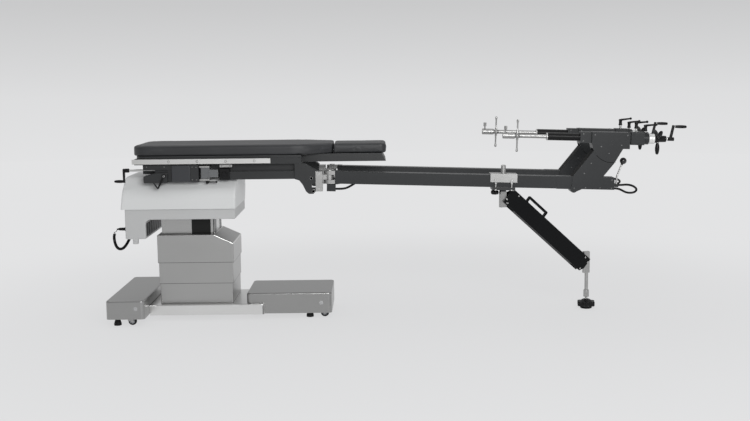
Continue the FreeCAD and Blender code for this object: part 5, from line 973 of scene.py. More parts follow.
class OPERATING_TABLE_OT_cords(bpy.types.Operator):
    """Makes the curly cord of the hand control and the release cables."""
    bl_idname = "operating_table.cords"
    bl_label = "Cords"

    def execute(self, context):
        sizes = context.scene.table_sizes
        route = [Vector(p) * 0.001 for p in LEAD_ROUTE + CURL_ROUTE[1:]]
        points = curly_points(route, sizes.curl_turns, sizes.curl_radius, 0.07,
                              sizes.curl_run_out)
        cord = spline_curve("curly_cord", points, sizes.cord_wire / 2)
        cord.data.resolution_u = 2
        cord.data.bevel_resolution = 2
        cord.data.materials.append(FINISH["rubber"])
        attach(cord, "table_top")
        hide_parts("pendant_cord")
        for tag, side in SIDES:
            hoses = (("hinge_hose_", HINGE_HOSE),
                     ("loop_hose_", [(x, -side * y, z) for x, y, z in LOOP_HOSE]))
            for name, places in hoses:
                points = stated(spar_matrix(side), places)
                hose = spline_curve(name + tag, points, 0.0064)
                hose.data.resolution_u = 12
                hose.data.materials.append(FINISH["rubber"])
                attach(hose, "spar_" + tag)
                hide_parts("brake_hoses_" + tag)
                travelled(line_points("hose", points))[-1]
        return {"FINISHED"}


# Base and column

CASTER_TAGS = ("head_near", "head_far", "foot_near", "foot_far")
X_AXIS, Y_AXIS, Z_AXIS = Vector((1, 0, 0)), Vector((0, 1, 0)), Vector((0, 0, 1))


def turned_plane(origin, first, second):
    """The place of a shape whose X and Y axes point along two given directions."""
    first, second = Vector(first), Vector(second)
    matrix = Matrix((first, second, first.cross(second))).transposed().to_4x4()
    matrix.translation = Vector(origin)
    return matrix


def skin(node, part, coats, wall, rim=1):
    """A sheet cover made of a shape's faces, in place of its node."""
    bm = bmesh.new()
    join(bm, part)
    piece = settle(node + "_made", bm, coats, BODY_OF[node], replaces=(node,))
    sheet = piece.modifiers.new("sheet", "SOLIDIFY")
    sheet.thickness = wall
    sheet.offset = -1
    # Rim faces take the finish that follows their face's own in the list; on the covers these are
    # the painted edge highlight and the painted shade steel.
    sheet.material_offset_rim = rim
    return piece


def rounded(part, edges, radius, segments=5):
    bmesh.ops.bevel(part, geom=edges, offset=radius, offset_type="OFFSET",
                    segments=segments, profile=0.5, affect="EDGES", material=-1)


def parted(part, low, high, level):
    """Parts the flat faces at one level along a rectangle, and gives those inside it."""
    def flat():
        return [face for face in part.faces if abs(face.normal.z) > 0.9
                and abs(face.calc_center_median().z - level) < 1e-4]

    for place, normal in ((low, X_AXIS), (high, X_AXIS), (low, Y_AXIS), (high, Y_AXIS)):
        faces = flat()
        rims = {edge for face in faces for edge in face.edges}
        ends = {vert for face in faces for vert in face.verts}
        bmesh.ops.bisect_plane(part, geom=[*ends, *rims, *faces], plane_co=place,
                               plane_no=normal)
    return [face for face in flat()
            if low.x < face.calc_center_median().x < high.x
            and low.y < face.calc_center_median().y < high.y]


def mast_outline(along, across):
    """The mast's outline, grown by a gap along the table and one across it."""
    low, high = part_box("lift_column")
    gap = Vector((along, across, 0))
    return low - gap, high + gap


def folded_cover(node, corner, wall):
    """A folded steel cover, open above and below, in place of its node."""
    low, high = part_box(node)
    part = raised([(low.x, low.y), (high.x, low.y), (high.x, high.y), (low.x, high.y)],
                  low.z, high.z)
    rounded(part, upright_edges(part, lambda p: True), corner)
    flat = [face for face in part.faces if abs(face.normal.z) > 0.9]
    bmesh.ops.delete(part, geom=flat, context="FACES")
    # Its lower edge gets a painted shadow band.
    return with_shadow_band(node, part, wall)


def with_shadow_band(node, part, wall):
    """A brushed cover with a painted shadow: a darker band along its lower edge."""
    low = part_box(node)[0].z
    shadow_band = low + bpy.context.scene.table_sizes.shadow_band
    bmesh.ops.bisect_plane(part, geom=part.verts[:] + part.edges[:] + part.faces[:],
                           plane_co=(0, 0, shadow_band), plane_no=(0, 0, 1))
    piece = skin(node, part, ["brushed_steel", "painted_shade_steel", "steel_edge_highlight"], wall)
    for face in piece.data.polygons:
        if face.center.z < shadow_band:
            face.material_index = 1
    return piece


def pressed_cover(node, half, corner, rim, coat, wanted=lambda p: True, hole=None):
    """A pressed steel cover, open below, with rounded corners and a rounded top."""
    low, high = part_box(node)
    part = raised([(low.x, -half), (high.x, -half), (high.x, half), (low.x, half)],
                  low.z, high.z)
    rounded(part, upright_edges(part, wanted), corner, 6)
    tops = [e for e in part.edges if min(v.co.z for v in e.verts) > high.z - 1e-5]
    rounded(part, tops, rim)
    below = [face for face in part.faces if face.normal.z < -0.9]
    bmesh.ops.delete(part, geom=below, context="FACES")
    if hole:
        bmesh.ops.delete(part, geom=parted(part, *hole, high.z), context="FACES")
    return skin(node, part, [coat, "steel_edge_highlight"], 0.0025)


class OPERATING_TABLE_OT_base(bpy.types.Operator):
    """Makes the steel base, its casters and the floor locks."""
    bl_idname = "operating_table.base"
    bl_label = "Base"

    def execute(self, context):
        sizes = context.scene.table_sizes
        low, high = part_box("head_base_cover")
        head_cap = (high.x - sizes.cap_inset, low.z + sizes.cap_height)
        head_half = high.y - sizes.cap_proud
        pressed_cover("head_base_cover", head_half, sizes.cover_corner, sizes.cover_rim,
                      "shaded_base_steel")
        low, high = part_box("foot_base_cover")
        foot_cap = (high.x - sizes.cap_inset - sizes.cap_radius, low.z + sizes.cap_height)
        foot_half = high.y - sizes.cap_proud
        pressed_cover("foot_base_cover", foot_half, sizes.cover_corner, sizes.cover_rim,
                      "shaded_base_steel")
        low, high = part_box("chassis_cover")
        nose = pressed_cover("chassis_cover", high.y, sizes.nose_corner, sizes.nose_rim,
                             "lit_chassis_steel", lambda p: p.x > high.x - 1e-4,
                             mast_outline(sizes.guide_gap, sizes.guide_gap))
        # Faces just behind the nose's rounded corners take the painted shade steel: a painted
        # dark reflection stripe.
        nose.data.materials.append(FINISH["painted_shade_steel"])
        for face in nose.data.polygons:
            depth = high.x - face.center.x
            if 0.003 < depth < 0.010 and abs(face.normal.z) < 0.1:
                face.material_index = 2
        bm = bmesh.new()
        for (x, z), half in ((head_cap, head_half), (foot_cap, foot_half)):
            for side in (-1, 1):
                face = Vector((x, half * side - 0.0004 * side, z))
                radius, proud = sizes.cap_radius, sizes.cap_proud
                join(bm, spun([(proud * 0.4, 0), (proud * 0.4, radius * 0.35),
                               (proud, radius * 0.42), (proud, radius * 0.9),
                               (proud * 0.6, radius), (-0.001, radius)], face,
                              face + Y_AXIS * side, 32))
        settle("cover_caps", bm, ["cap_grey"], "chassis")
        dressed("base_frame", "chassis_paint", "frame_ribs_and_edge_highlight", 0.0008)
        dressed("floor_lock_feet", "rubber", "plastic_keys_and_edge_highlight", 0.0008)
        for tag in CASTER_TAGS:
            dressed("caster_fork_" + tag, "cast_silver", "silver_bolts_and_edge_highlight", 0.0005)
            low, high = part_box("caster_wheel_" + tag)
            middle = (low + high) / 2
            start, end = Vector(middle), Vector(middle)
            start.y, end.y = low.y, high.y
            width, radius = high.y - low.y, (high.z - low.z) / 2
            tread = [(0.0, radius * 0.62), (0.0, radius * 0.82), (width * 0.12, radius * 0.94),
                     (width * 0.35, radius), (width * 0.65, radius),
                     (width * 0.88, radius * 0.94), (width, radius * 0.82),
                     (width, radius * 0.62)]
            hub = [(width * 0.08, radius * 0.17), (width * 0.08, radius * 0.3),
                   (width * 0.2, radius * 0.34), (width * 0.2, radius * 0.56),
                   (width * 0.06, radius * 0.63), (width * 0.94, radius * 0.63),
                   (width * 0.8, radius * 0.56), (width * 0.8, radius * 0.34),
                   (width * 0.92, radius * 0.3), (width * 0.92, radius * 0.17)]
            bm = bmesh.new()
            join(bm, spun(tread, start, end, 36), 0)
            join(bm, spun(hub, start, end, 36), 1)
            settle("caster_wheel_made_" + tag, bm, ["rubber", "control_grey"],
                   "caster_wheel_" + tag, replaces=("caster_wheel_" + tag,))
        return {"FINISHED"}


class OPERATING_TABLE_OT_column(bpy.types.Operator):
    """Makes the telescopic column covers and the mast."""
    bl_idname = "operating_table.column"
    bl_label = "Column"

    def execute(self, context):
        sizes = context.scene.table_sizes
        folded_cover("column_lower_cover", 0.004, 0.002)
        folded_cover("column_middle_cover", 0.004, 0.002)
        self.roofed_cover(sizes)
        low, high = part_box("lift_column")
        reflection_band = (low.x + sizes.reflection_start, low.x + sizes.reflection_end)
        dressed("lift_column", "mast_steel", "steel_edge_highlight", 0.0015)
        # Dark strips on both faces of the mast, near and round its foot-side corner: painted dark
        # reflections.
        bm = bmesh.new()
        for side in (-1, 1):
            face = (low.y - 0.0006) * side
            back = (low.y + 0.0004) * side
            for left, right in (reflection_band, (high.x - sizes.reflection_edge, high.x - 0.0015)):
                join(bm, block((left, min(face, back), sizes.reflection_bottom),
                               (right, max(face, back), sizes.reflection_top), 0.0003))
            wrap = (low.y + 0.002) * side, (low.y + sizes.reflection_wrap) * side
            join(bm, block((high.x - 0.0004, min(wrap), sizes.reflection_bottom),
                           (high.x + 0.0006, max(wrap), sizes.reflection_top), 0.0003))
        settle("mast_painted_reflections", bm, ["groove_and_reflection_black"], BODY_OF["lift_column"])
        painted("tilt_cross", "chassis_paint")
        return {"FINISHED"}

    def roofed_cover(self, sizes):
        """The upper cover, whose roof slopes down behind the mast."""
        node = "column_upper_cover"
        low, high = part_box(node)
        side = [(low.x, low.z), (high.x, low.z), (high.x, high.z - sizes.roof_fall),
                (low.x + sizes.roof_flat, high.z), (low.x, high.z)]
        part = raised(side, -high.y, -low.y)
        bmesh.ops.transform(part, matrix=turned_plane((0, 0, 0), X_AXIS, Z_AXIS),
                            verts=part.verts[:])
        kept = [e for e in part.edges if max(v.co.z for v in e.verts) > low.z + 1e-4]
        lines = [(v.co.copy(), w.co.copy()) for v, w in (e.verts for e in kept)
                 if min(v.co.z, w.co.z) > low.z + 0.05]
        rounded(part, kept, sizes.roof_lip, 4)
        below = [face for face in part.faces if face.normal.z < -0.9]
        bmesh.ops.delete(part, geom=below, context="FACES")
        hole = parted(part, *mast_outline(-sizes.roof_cover, -sizes.roof_cover), high.z)
        bmesh.ops.delete(part, geom=hole, context="FACES")
        piece = with_shadow_band(node, part, 0.002)
        # The faces along the roof's rounded lip take the steel edge finish: a painted highlight.
        reach = sizes.roof_lip * 1.05
        for face in piece.data.polygons:
            for first, second in lines:
                length = (second - first).length
                along = (face.center - first).dot(second - first) / length
                gap = (face.center - first - (second - first) * along / length).length
                if gap < reach and face.area < 0.004:
                    face.material_index = 2
        return piece


# Housing with the hand control

class OPERATING_TABLE_OT_housing(bpy.types.Operator):
    """Makes the painted housing at the head of the column and the hand control."""
    bl_idname = "operating_table.housing"
    bl_label = "Housing"

    def execute(self, context):
        sizes = context.scene.table_sizes
        self.drum(sizes)
        self.tub(sizes)
        dressed("pendant", "control_grey", "plastic_keys_and_edge_highlight", 0.002)
        self.keys(sizes)
        self.plug(sizes)
        self.leg_panel(sizes)
        return {"FINISHED"}

    def drum(self, sizes):
        """The upper housing: a round-shouldered drum between two slanting ends."""
        low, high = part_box("housing_upper_cover")
        section = [(-high.y, low.z), (high.y, low.z), (high.y, sizes.drum_shoulder),
                   (sizes.drum_flat, high.z), (-sizes.drum_flat, high.z),
                   (-high.y, sizes.drum_shoulder)]
        part = raised(section, low.x - 0.02, high.x + 0.02)
        bmesh.ops.transform(part, matrix=turned_plane((0, 0, 0), Y_AXIS, Z_AXIS),
                            verts=part.verts[:])
        along = [e for e in part.edges if min(v.co.z for v in e.verts) > low.z + 1e-4
                 and abs(e.verts[0].co.x - e.verts[1].co.x) > 0.1]
        rounded(part, along, sizes.drum_round, 14)
        ends = ((low.x, low.x + sizes.drum_head_slope, -1),
                (high.x - sizes.drum_foot_slope, high.x, 1))
        for below, above, side in ends:
            slope = Vector((above - below, 0, high.z - low.z))
            outwards = Vector((slope.z * side, 0, -slope.x * side)).normalized()
            bmesh.ops.bisect_plane(part, geom=part.verts[:] + part.edges[:] + part.faces[:],
                                   plane_co=(below, 0, low.z), plane_no=outwards,
                                   clear_outer=True)
            rim = [e for e in part.edges if e.is_boundary]
            bmesh.ops.holes_fill(part, edges=rim, sides=0)
        bmesh.ops.recalc_face_normals(part, faces=part.faces[:])
        rims = [e for e in part.edges if min(v.co.z for v in e.verts) > low.z - 1e-4
                and max(v.co.z for v in e.verts) > low.z + 1e-4 and len(e.link_faces) == 2
                and e.calc_face_angle(0.0) > math.radians(55)
                and min(abs(f.normal.x) for f in e.link_faces) < 0.5
                and max(abs(f.normal.x) for f in e.link_faces) > 0.5]
        rounded(part, rims, sizes.drum_end_round, 5)
        below = [face for face in part.faces if face.normal.z < -0.9]
        bmesh.ops.delete(part, geom=below, context="FACES")
        skin("housing_upper_cover", part, ["housing_paint", "housing_edge_highlight"], 0.004)

    def tub(self, sizes):
        """The lower housing with its leg, arch, stop block, socket and holder."""
        node = "housing_lower_cover"
        low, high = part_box(node)
        left, leg = low.x + sizes.socket_reach, low.x + sizes.leg_depth
        floor = low.z + sizes.leg_stop
        outline = [(left, high.z), (left, floor), (leg, floor)]
        arch = Vector((leg + sizes.arch, sizes.tub_floor - sizes.arch))
        for number in range(9):
            turn = math.pi - math.pi / 2 * number / 8
            outline.append((arch.x + sizes.arch * math.cos(turn),
                            arch.y + sizes.arch * math.sin(turn)))
        outline += [(high.x, sizes.tub_floor), (high.x, high.z)]
        part = raised(outline, -high.y, -low.y)
        bmesh.ops.transform(part, matrix=turned_plane((0, 0, 0), X_AXIS, Z_AXIS),
                            verts=part.verts[:])
        sides = [e for e in part.edges if e.calc_face_angle(0.0) > 0.5
                 and not all(v.co.z > high.z - 1e-5 for v in e.verts)]
        rounded(part, sides, sizes.tub_round, 4)
        well = mast_outline(sizes.well_along, sizes.well_across)
        for level in (sizes.tub_floor, high.z):
            bmesh.ops.delete(part, geom=parted(part, *well, level), context="FACES")
        bmesh.ops.bridge_loops(part, edges=[e for e in part.edges if e.is_boundary])
        bm = bmesh.new()
        join(bm, part, 0)
        edge = sizes.tub_stop_left
        size = sizes.leg_stop
        join(bm, block((edge, low.y, floor - size), (edge + size, low.y + size, floor + 0.004),
                       0.003), 0)
        socket = Vector(LEAD_ROUTE[0]) * 0.001
        join(bm, spun([(0, 0), (0, 0.0078), (0.002, 0.009), (0.034, 0.009), (0.034, 0)],
                      socket, socket + X_AXIS, 24), 2)
        join(bm, spun([(0.022, 0.009), (0.022, 0.0125), (0.026, 0.0135), (0.034, 0.0135),
                       (0.034, 0.009)], socket, socket + X_AXIS, 24), 2)
        pendant_low, pendant_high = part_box("pendant")
        join(bm, block((pendant_high.x, pendant_low.y, pendant_low.z),
                       (left + 0.001, pendant_high.y,
                        (pendant_low.z + pendant_high.z) / 2), 0.0008), 1)
        settle(node + "_made", bm, ["tub_paint_shaded", "tub_edge", "black_plastic"], BODY_OF[node],
               replaces=(node,))

    def keys(self, sizes):
        """Blank keys on the face of the hand control."""
        low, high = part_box("pendant")
        bm = bmesh.new()
        columns, rows = 2, 5
        width = (high.y - low.y) / (columns + 1)
        pitch = (high.z - low.z) / (rows + 2)
        for column in range(columns):
            for row in range(rows):
                y = low.y + width * (column + 1)
                z = low.z + pitch * (row + 1.5)
                join(bm, block((low.x - 0.0012, y - width * 0.32, z - pitch * 0.3),
                               (low.x + 0.002, y + width * 0.32, z + pitch * 0.3), 0.0008))
        settle("pendant_keys", bm, ["plastic_keys_and_edge_highlight"], "table_top")

    def plug(self, sizes):
        """The plug and strain relief of the cord at its socket."""
        start = Vector(LEAD_ROUTE[0]) * 0.001
        bm = bmesh.new()
        radius = sizes.plug_radius
        profile = [(-0.002, 0), (-0.002, radius), (0.010, radius), (0.011, radius * 0.84)]
        for ring in range(5):
            place = 0.0115 + ring * 0.0028
            swell = radius * (0.80 - 0.09 * ring)
            profile += [(place, swell), (place + 0.0016, swell), (place + 0.002, swell * 0.78)]
        profile += [(0.0275, 0.0021), (0.0275, 0)]
        join(bm, spun(profile, start, start - X_AXIS, 24))
        settle("cord_plug", bm, ["rubber"], "table_top")

    def leg_panel(self, sizes):
        """The dark ribbed channel in the inner face of the housing's leg."""
        box_low, box_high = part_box("housing_lower_cover")
        face = box_low.x + sizes.leg_depth
        floor = box_low.z + sizes.leg_stop
        top = floor + sizes.leg_panel
        half = sizes.leg_panel_half
        bm = bmesh.new()
        join(bm, block((face - 0.001, -half, floor + 0.012), (face + 0.0015, half, top),
                       0.0006), 0)
        for number in range(7):
            y = -half + half * 2 * (number + 0.5) / 7
            join(bm, block((face + 0.001, y - 0.004, floor + 0.016),
                           (face + 0.004, y + 0.004, top - 0.006), 0.001), 1)
        settle("leg_channel", bm, ["black_plastic", "frame_ribs_and_edge_highlight"], "table_top")


# Table top

class OPERATING_TABLE_OT_top(bpy.types.Operator):
    """Makes the frame, rails, boards, gearbox and clamp of the table top."""
    bl_idname = "operating_table.top"
    bl_label = "Table top"

    def execute(self, context):
        sizes = context.scene.table_sizes
        dressed("table_frame", "frame_coat", "frame_ribs_and_edge_highlight", 0.0012)
        dressed("table_panels", "board_laminate", "frame_ribs_and_edge_highlight", 0.0015)
        dressed("side_rails", "steel_rail", "steel_edge_highlight", 0.0012)
        dressed("spar_hinge_plates", "cast_silver", "silver_bolts_and_edge_highlight", 0.002)
        self.rail_bolts(sizes)
        self.gearbox(sizes)
        self.tilt_crank(sizes)
        self.clamp(sizes)
        self.hinge_bolts(sizes)
        self.small_parts(sizes)
        return {"FINISHED"}

    def rail_bolts(self, sizes):
        low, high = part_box("side_rails")
        bm = bmesh.new()
        middle = (low.z + high.z) / 2
        for side in (-1, 1):
            face = side * (high.y - 0.0026)
            for number in range(4):
                x = low.x + sizes.rail_first_bolt + sizes.rail_bolt_pitch * number
                screw(bm, (x, face, middle), (0, side, 0), 0.0078, 0.0036)
        settle("rail_screws", bm, ["cast_silver"], "table_top")

    def gearbox(self, sizes):
        low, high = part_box("tilt_gearbox")
        motor_left = high.x - sizes.motor_reach
        motor_right = motor_left + sizes.motor_length
        dressed("tilt_gearbox", "frame_coat", "frame_ribs_and_edge_highlight", 0.001, inlays=[
            ("motor_grey", lambda p, n: motor_left + 1e-4 < p.x < motor_right - 1e-4
             and p.y < low.y + 0.02)])
        dressed("tilt_lock_lever", "black_plastic", "plastic_keys_and_edge_highlight", 0.001)
        bm = bmesh.new()
        for x, z in ((low.x + 0.022, high.z - 0.010), (low.x + 0.125, high.z - 0.010),
                     (motor_right + 0.012, high.z - 0.012), (motor_right + 0.036, high.z - 0.012),
                     (motor_right + 0.012, low.z + 0.016), (motor_right + 0.036, low.z + 0.016)):
            front = low.y + (0.023 if x < motor_left else 0.015)
            screw(bm, (x, front, z), (0, -1, 0), 0.0038, 0.0022)
        lever_low, lever_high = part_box("tilt_lock_lever")
        hub = (sizes.lock_hub_x, lever_low.y, sizes.lock_hub_z)
        screw(bm, hub, (0, -1, 0), 0.0075, 0.0024)
        settle("gearbox_screws", bm, ["dark_screw"], "table_top")

    def tilt_crank(self, sizes):
        low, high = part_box("tilt_crank")
        y = (low.y + high.y) / 2
        z = high.z - sizes.crank_hub
        hub_left = low.x + sizes.crank_grip
        grip_z = low.z + 0.009
        bm = bmesh.new()
        join(bm, bar((hub_left + 0.02, y, z), (high.x, y, z), 0.0069), 1)
        join(bm, spun([(0, 0), (0, 0.0095), (0.002, sizes.crank_hub), (0.024, sizes.crank_hub),
                       (0.027, 0.0085), (0.027, 0)], (hub_left, y, z),
                      (hub_left + 1, y, z)), 0)
        join(bm, strap((0, 0), (z - grip_z, 0), 0.0115, 0.0085, 0.0005, 0.0115), 0,
             turned_plane((hub_left, y, z), -Z_AXIS, Y_AXIS) @ Matrix.Scale(-1, 4, Z_AXIS))
        join(bm, spun(oval(sizes.crank_grip, 0.0092, 0.0058), (hub_left, y, grip_z),
                      (hub_left - 1, y, grip_z)), 0)
        join(bm, bar((hub_left - 0.001, y, grip_z), (hub_left - 0.006, y, grip_z), 0.0072), 1)
        settle("tilt_crank_made", bm, ["black_plastic", "polished_steel"], "crank",
               replaces=("tilt_crank",))

    def clamp(self, sizes):
        low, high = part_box("side_clamp")
        bar_wall = sizes.clamp_bar
        dressed("side_clamp", "cast_silver", "silver_bolts_and_edge_highlight", 0.0014, inlays=[
            ("clamp_grey", lambda p, n:
             low.z + bar_wall + 1e-4 < p.z < high.z - bar_wall - 1e-4)])
        low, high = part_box("side_clamp_lever")
        x = low.x + sizes.clamp_knob
        y = (low.y + high.y) / 2
        z = low.z + 0.009
        bm = bmesh.new()
        join(bm, spun([(0, 0), (0, 0.0065), (0.0015, 0.008), (0.016, 0.008), (0.0175, 0.0065),
                       (0.0175, 0.004), (high.z - low.z, 0.004), (high.z - low.z, 0)],
                      (x, y, low.z), (x, y, low.z + 1)))
        join(bm, tapered((x, y, z), (high.x - 0.006, y, z), 0.0045, 0.0032))
        join(bm, sphere((high.x - 0.0065, y, z), 0.0065, 16))
        settle("side_clamp_lever_made", bm, ["black_plastic"], "clamp_lever",
               replaces=("side_clamp_lever",))

    def hinge_bolts(self, sizes):
        """Hexagonal bolt heads on the frame's brackets and plates, and pin caps."""
        low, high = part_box("spar_hinge_plates")
        bm = bmesh.new()
        for side in (-1, 1):
            face = side * high.y
            for x, z in ((-0.503, 0.850), (-0.492, 0.773)):
                start = Vector((x, face - side * 0.0045, z))
                join(bm, hexagon(start, start + Vector((0, side * 0.0045, 0)), 0.0095))
            for z in (0.787, 0.873):
                screw(bm, ((-0.478 - 0.438) / 2, face, z), (0, side, 0), 0.005, 0.0018)
        for tag, side in SIDES:
            pin = bmesh.new()
            for end in (-1, 1):
                join(pin, spun([(0, 0), (0, 0.0165), (0.004, 0.0165), (0.0055, 0.015),
                                (0.0055, 0)], (0, 0, 0.0382 * end), (0, 0, end)))
            bmesh.ops.transform(pin, matrix=spar_matrix(side), verts=pin.verts[:])
            join(bm, pin)
        settle("hinge_bolt_heads", bm, ["silver_bolts_and_edge_highlight"], "table_top")

    def small_parts(self, sizes):
        """The latch beside the clamp: a bright bar and a black block with its boss."""
        low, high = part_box("side_clamp")
        left = high.x + 0.010
        front, back = low.y + 0.002, low.y + 0.047
        bm = bmesh.new()
        join(bm, block((left, front, high.z - 0.008), (left + 0.073, back, high.z + 0.008)), 0)
        for x in (left + 0.012, left + 0.061):
            screw(bm, (x, front, high.z), (0, -1, 0), 0.003, 0.0012, 1)
        join(bm, block((left - 0.004, front + 0.004, low.z + 0.002),
                       (left + 0.056, back, high.z - 0.016), 0.003), 1)
        middle = Vector((left + 0.026, front + 0.005, low.z + 0.034))
        join(bm, spun([(0, 0.017), (0.006, 0.017), (0.0085, 0.0145), (0.0085, 0.009),
                       (0.006, 0.0085), (0.006, 0)], middle, middle - Y_AXIS), 1)
        settle("side_latch", bm, ["cast_silver", "black_plastic"], "table_top")


# Spars and traction units

class TractionTools:
    """Shapes of a traction unit, in the frame of its spar."""

    @staticmethod
    def done(name, bm, side, materials, body, node, replace=True):
        bmesh.ops.transform(bm, matrix=spar_matrix(side), verts=bm.verts[:])
        return settle(name, bm, materials, body,
                      replaces=(node,) if replace else ())


class OPERATING_TABLE_OT_spars(bpy.types.Operator):
    """Makes the spars with their uprights and screws."""
    bl_idname = "operating_table.spars"
    bl_label = "Spars"

    def execute(self, context):
        unit = context.scene.table_traction
        for tag, side in SIDES:
            place = spar_matrix(side)
            back = place.inverted()
            root = (place @ Vector((unit.yoke, 0, 0)), place.to_3x3() @ X_AXIS)

            def on_yoke(p, n):
                at = back @ p
                return at.x < unit.yoke + 1e-4 and at.z > -unit.yoke_half - 1e-3

            # The uprights' slanting faces get near black: a painted shade.
            dressed("spar_" + tag, "spar_coat", "spar_edge_highlight", 0.0015, cut=root, inlays=[
                ("seam_and_shade_black", lambda p, n: n.x < -0.5 and n.z > 0.2 and p.z > 0.86),
                ("cast_silver", on_yoke)])
            bm = bmesh.new()
            places = ((1.537, 0.118), (1.500, 0.058), (1.444, -0.031), (1.5105, -0.0273),
                      (1.596, -0.0262), (1.664, -0.0262), (1.664, 0.022))
            for x, z in places:
                for face in (-1, 1):
                    screw(bm, (x, face * unit.half_width, z), (0, face, 0))
            for x in (1.3455, 1.4255):
                screw(bm, (x, 0, 0.0375), (0, 0, 1), 0.0032)
            TractionTools.done("spar_screws_" + tag, bm, side, ["dark_screw"],
                               "spar_" + tag, "spar_" + tag, replace=False)
        return {"FINISHED"}


class OPERATING_TABLE_OT_traction(bpy.types.Operator):
    """Makes the traction head, spindle, rod, cranks and levers on each spar."""
    bl_idname = "operating_table.traction"
    bl_label = "Traction units"

    def execute(self, context):
        unit = context.scene.table_traction
        for tag, side in SIDES:
            shift = 0.0 if side < 0 else unit.far_shift
            dressed("traction_head_" + tag, "spar_coat", "spar_edge_highlight", 0.0015)
            self.head_screws(unit, tag, side)
            self.spindle(unit, tag, side)
            self.rod(unit, tag, side, shift)
            self.lock_bar(unit, tag, side, unit.bar + shift)
            self.crank(unit, tag, side)
            turn = unit.near_lever_turn if side < 0 else unit.far_lever_turn
            self.lever(unit, "rotation_lock_lever_" + tag, "rotation_lever_" + tag, side,
                       unit.first_lever, unit.axis + unit.rear_half, unit.first_stud, turn)
            self.lever(unit, "head_lock_lever_" + tag, "head_lever_" + tag, side,
                       unit.second_lever, unit.axis + unit.collar, unit.second_stud, turn)
            self.release(unit, tag, side)
        return {"FINISHED"}

    def head_screws(self, unit, tag, side):
        bm = bmesh.new()
        for face in (-1, 1):
            for x, z in ((1.592, 0.217), (1.640, 0.179), (1.712, 0.228), (1.553, 0.286),
                         (1.745, 0.286)):
                screw(bm, (x, face * unit.half_width, z), (0, face, 0))
            for x, z in ((1.488, 0.289), (1.488, 0.247)):
                screw(bm, (x, face * 0.032, z), (0, face, 0))
        for x in (1.5525, 1.7435):
            for y in (-0.036, 0.036):
                screw(bm, (x, y, 0.302), (0, 0, 1))
        self.arc_seam(unit, bm)
        TractionTools.done("head_screws_" + tag, bm, side, ["dark_screw", "seam_and_shade_black"],
                           "traction_head_" + tag, "traction_head_" + tag, replace=False)

    def arc_seam(self, unit, bm):
        """The dark joint line along the head's round underside."""
        steps = 28
        for face in (-1, 1):
            rows = []
            for number in range(steps + 1):
                turn = math.radians(-139 + 61 * number / steps)
                for reach in (unit.seam - 0.0026, unit.seam):
                    rows.append((unit.pivot_x + reach * math.cos(turn),
                                 unit.pivot_z + reach * math.sin(turn)))
            part = bmesh.new()
            y = face * (unit.half_width + 0.0002)
            verts = [part.verts.new((x, y, z)) for x, z in rows]
            for number in range(steps):
                a, b, c, e = verts[number * 2:number * 2 + 4]
                part.faces.new((a, b, e, c) if face < 0 else (a, c, e, b))
            join(bm, part, 1)

    def spindle(self, unit, tag, side):
        """The black tube, the graduated ring and the handwheel with three oval grips."""
        z = unit.axis
        bm = bmesh.new()
        length = unit.ring - unit.tube
        radius = unit.tube_radius
        start, end = Vector((unit.tube, 0, z)), Vector((unit.ring, 0, z))
        join(bm, spun([(0.004, 0.0122), (0.004, radius), (length, radius), (length, 0.0122)],
                      start, end), 0)
        join(bm, spun([(0.004, 0.0122), (0, 0.0126), (0, radius - 0.001), (0.001, radius),
                       (0.004, radius)], start, end), 1)
        start, end = end, Vector((unit.ring_end, 0, z))
        wide, reach = unit.ring_end - unit.ring, unit.ring_radius
        join(bm, spun([(0, 0), (0, reach - 0.0015), (0.0015, reach), (wide * 0.5, reach),
                       (wide * 0.53, reach - 0.0012), (wide * 0.58, reach - 0.0012),
                       (wide * 0.61, reach), (wide - 0.0015, reach), (wide, reach - 0.0015),
                       (wide, 0)], start, end, 48), 1)
        for number in range(24):
            angle = 2 * math.pi * number / 24
            long = 0.012 if number % 3 == 0 else 0.006
            mark = block((unit.ring + 0.0028, -0.0002, reach - 0.0006),
                         (unit.ring + 0.0028 + long, 0.0002, reach + 0.0001), 0.0001, 1)
            join(bm, mark, 0, Matrix.Translation((0, 0, z)) @ Matrix.Rotation(angle, 4, "X"))
        start = end
        hub = unit.hub_radius
        wide = unit.hub_end - unit.ring_end
        join(bm, spun([(0, 0), (0, hub * 1.14), (0.0015, hub * 1.2), (hub * 1.15, hub * 1.2),
                       (hub * 1.25, hub * 1.14), (hub * 1.6, hub), (wide - 0.002, hub * 0.92),
                       (wide, hub * 0.82), (wide, 0)], start, start + X_AXIS), 0)
        profile = oval(unit.grip_end - unit.grip_start, unit.grip_radius, 0.0062)
        for number in range(3):
            place = (Matrix.Translation((unit.grip, 0, z))
                     @ Matrix.Rotation(math.pi + 2 * math.pi / 3 * number, 4, "X"))
            foot = Vector((0, 0, unit.grip_start))
            join(bm, spun(profile, foot, foot + Z_AXIS), 0, place)
            join(bm, bar((0, 0, 0.018), (0, 0, unit.grip_start + 0.003), 0.0075), 1, place)
        TractionTools.done("rotation_spindle_made_" + tag, bm, side,
                           ["black_plastic", "machined_ring"], "spindle_" + tag,
                           "rotation_spindle_" + tag)

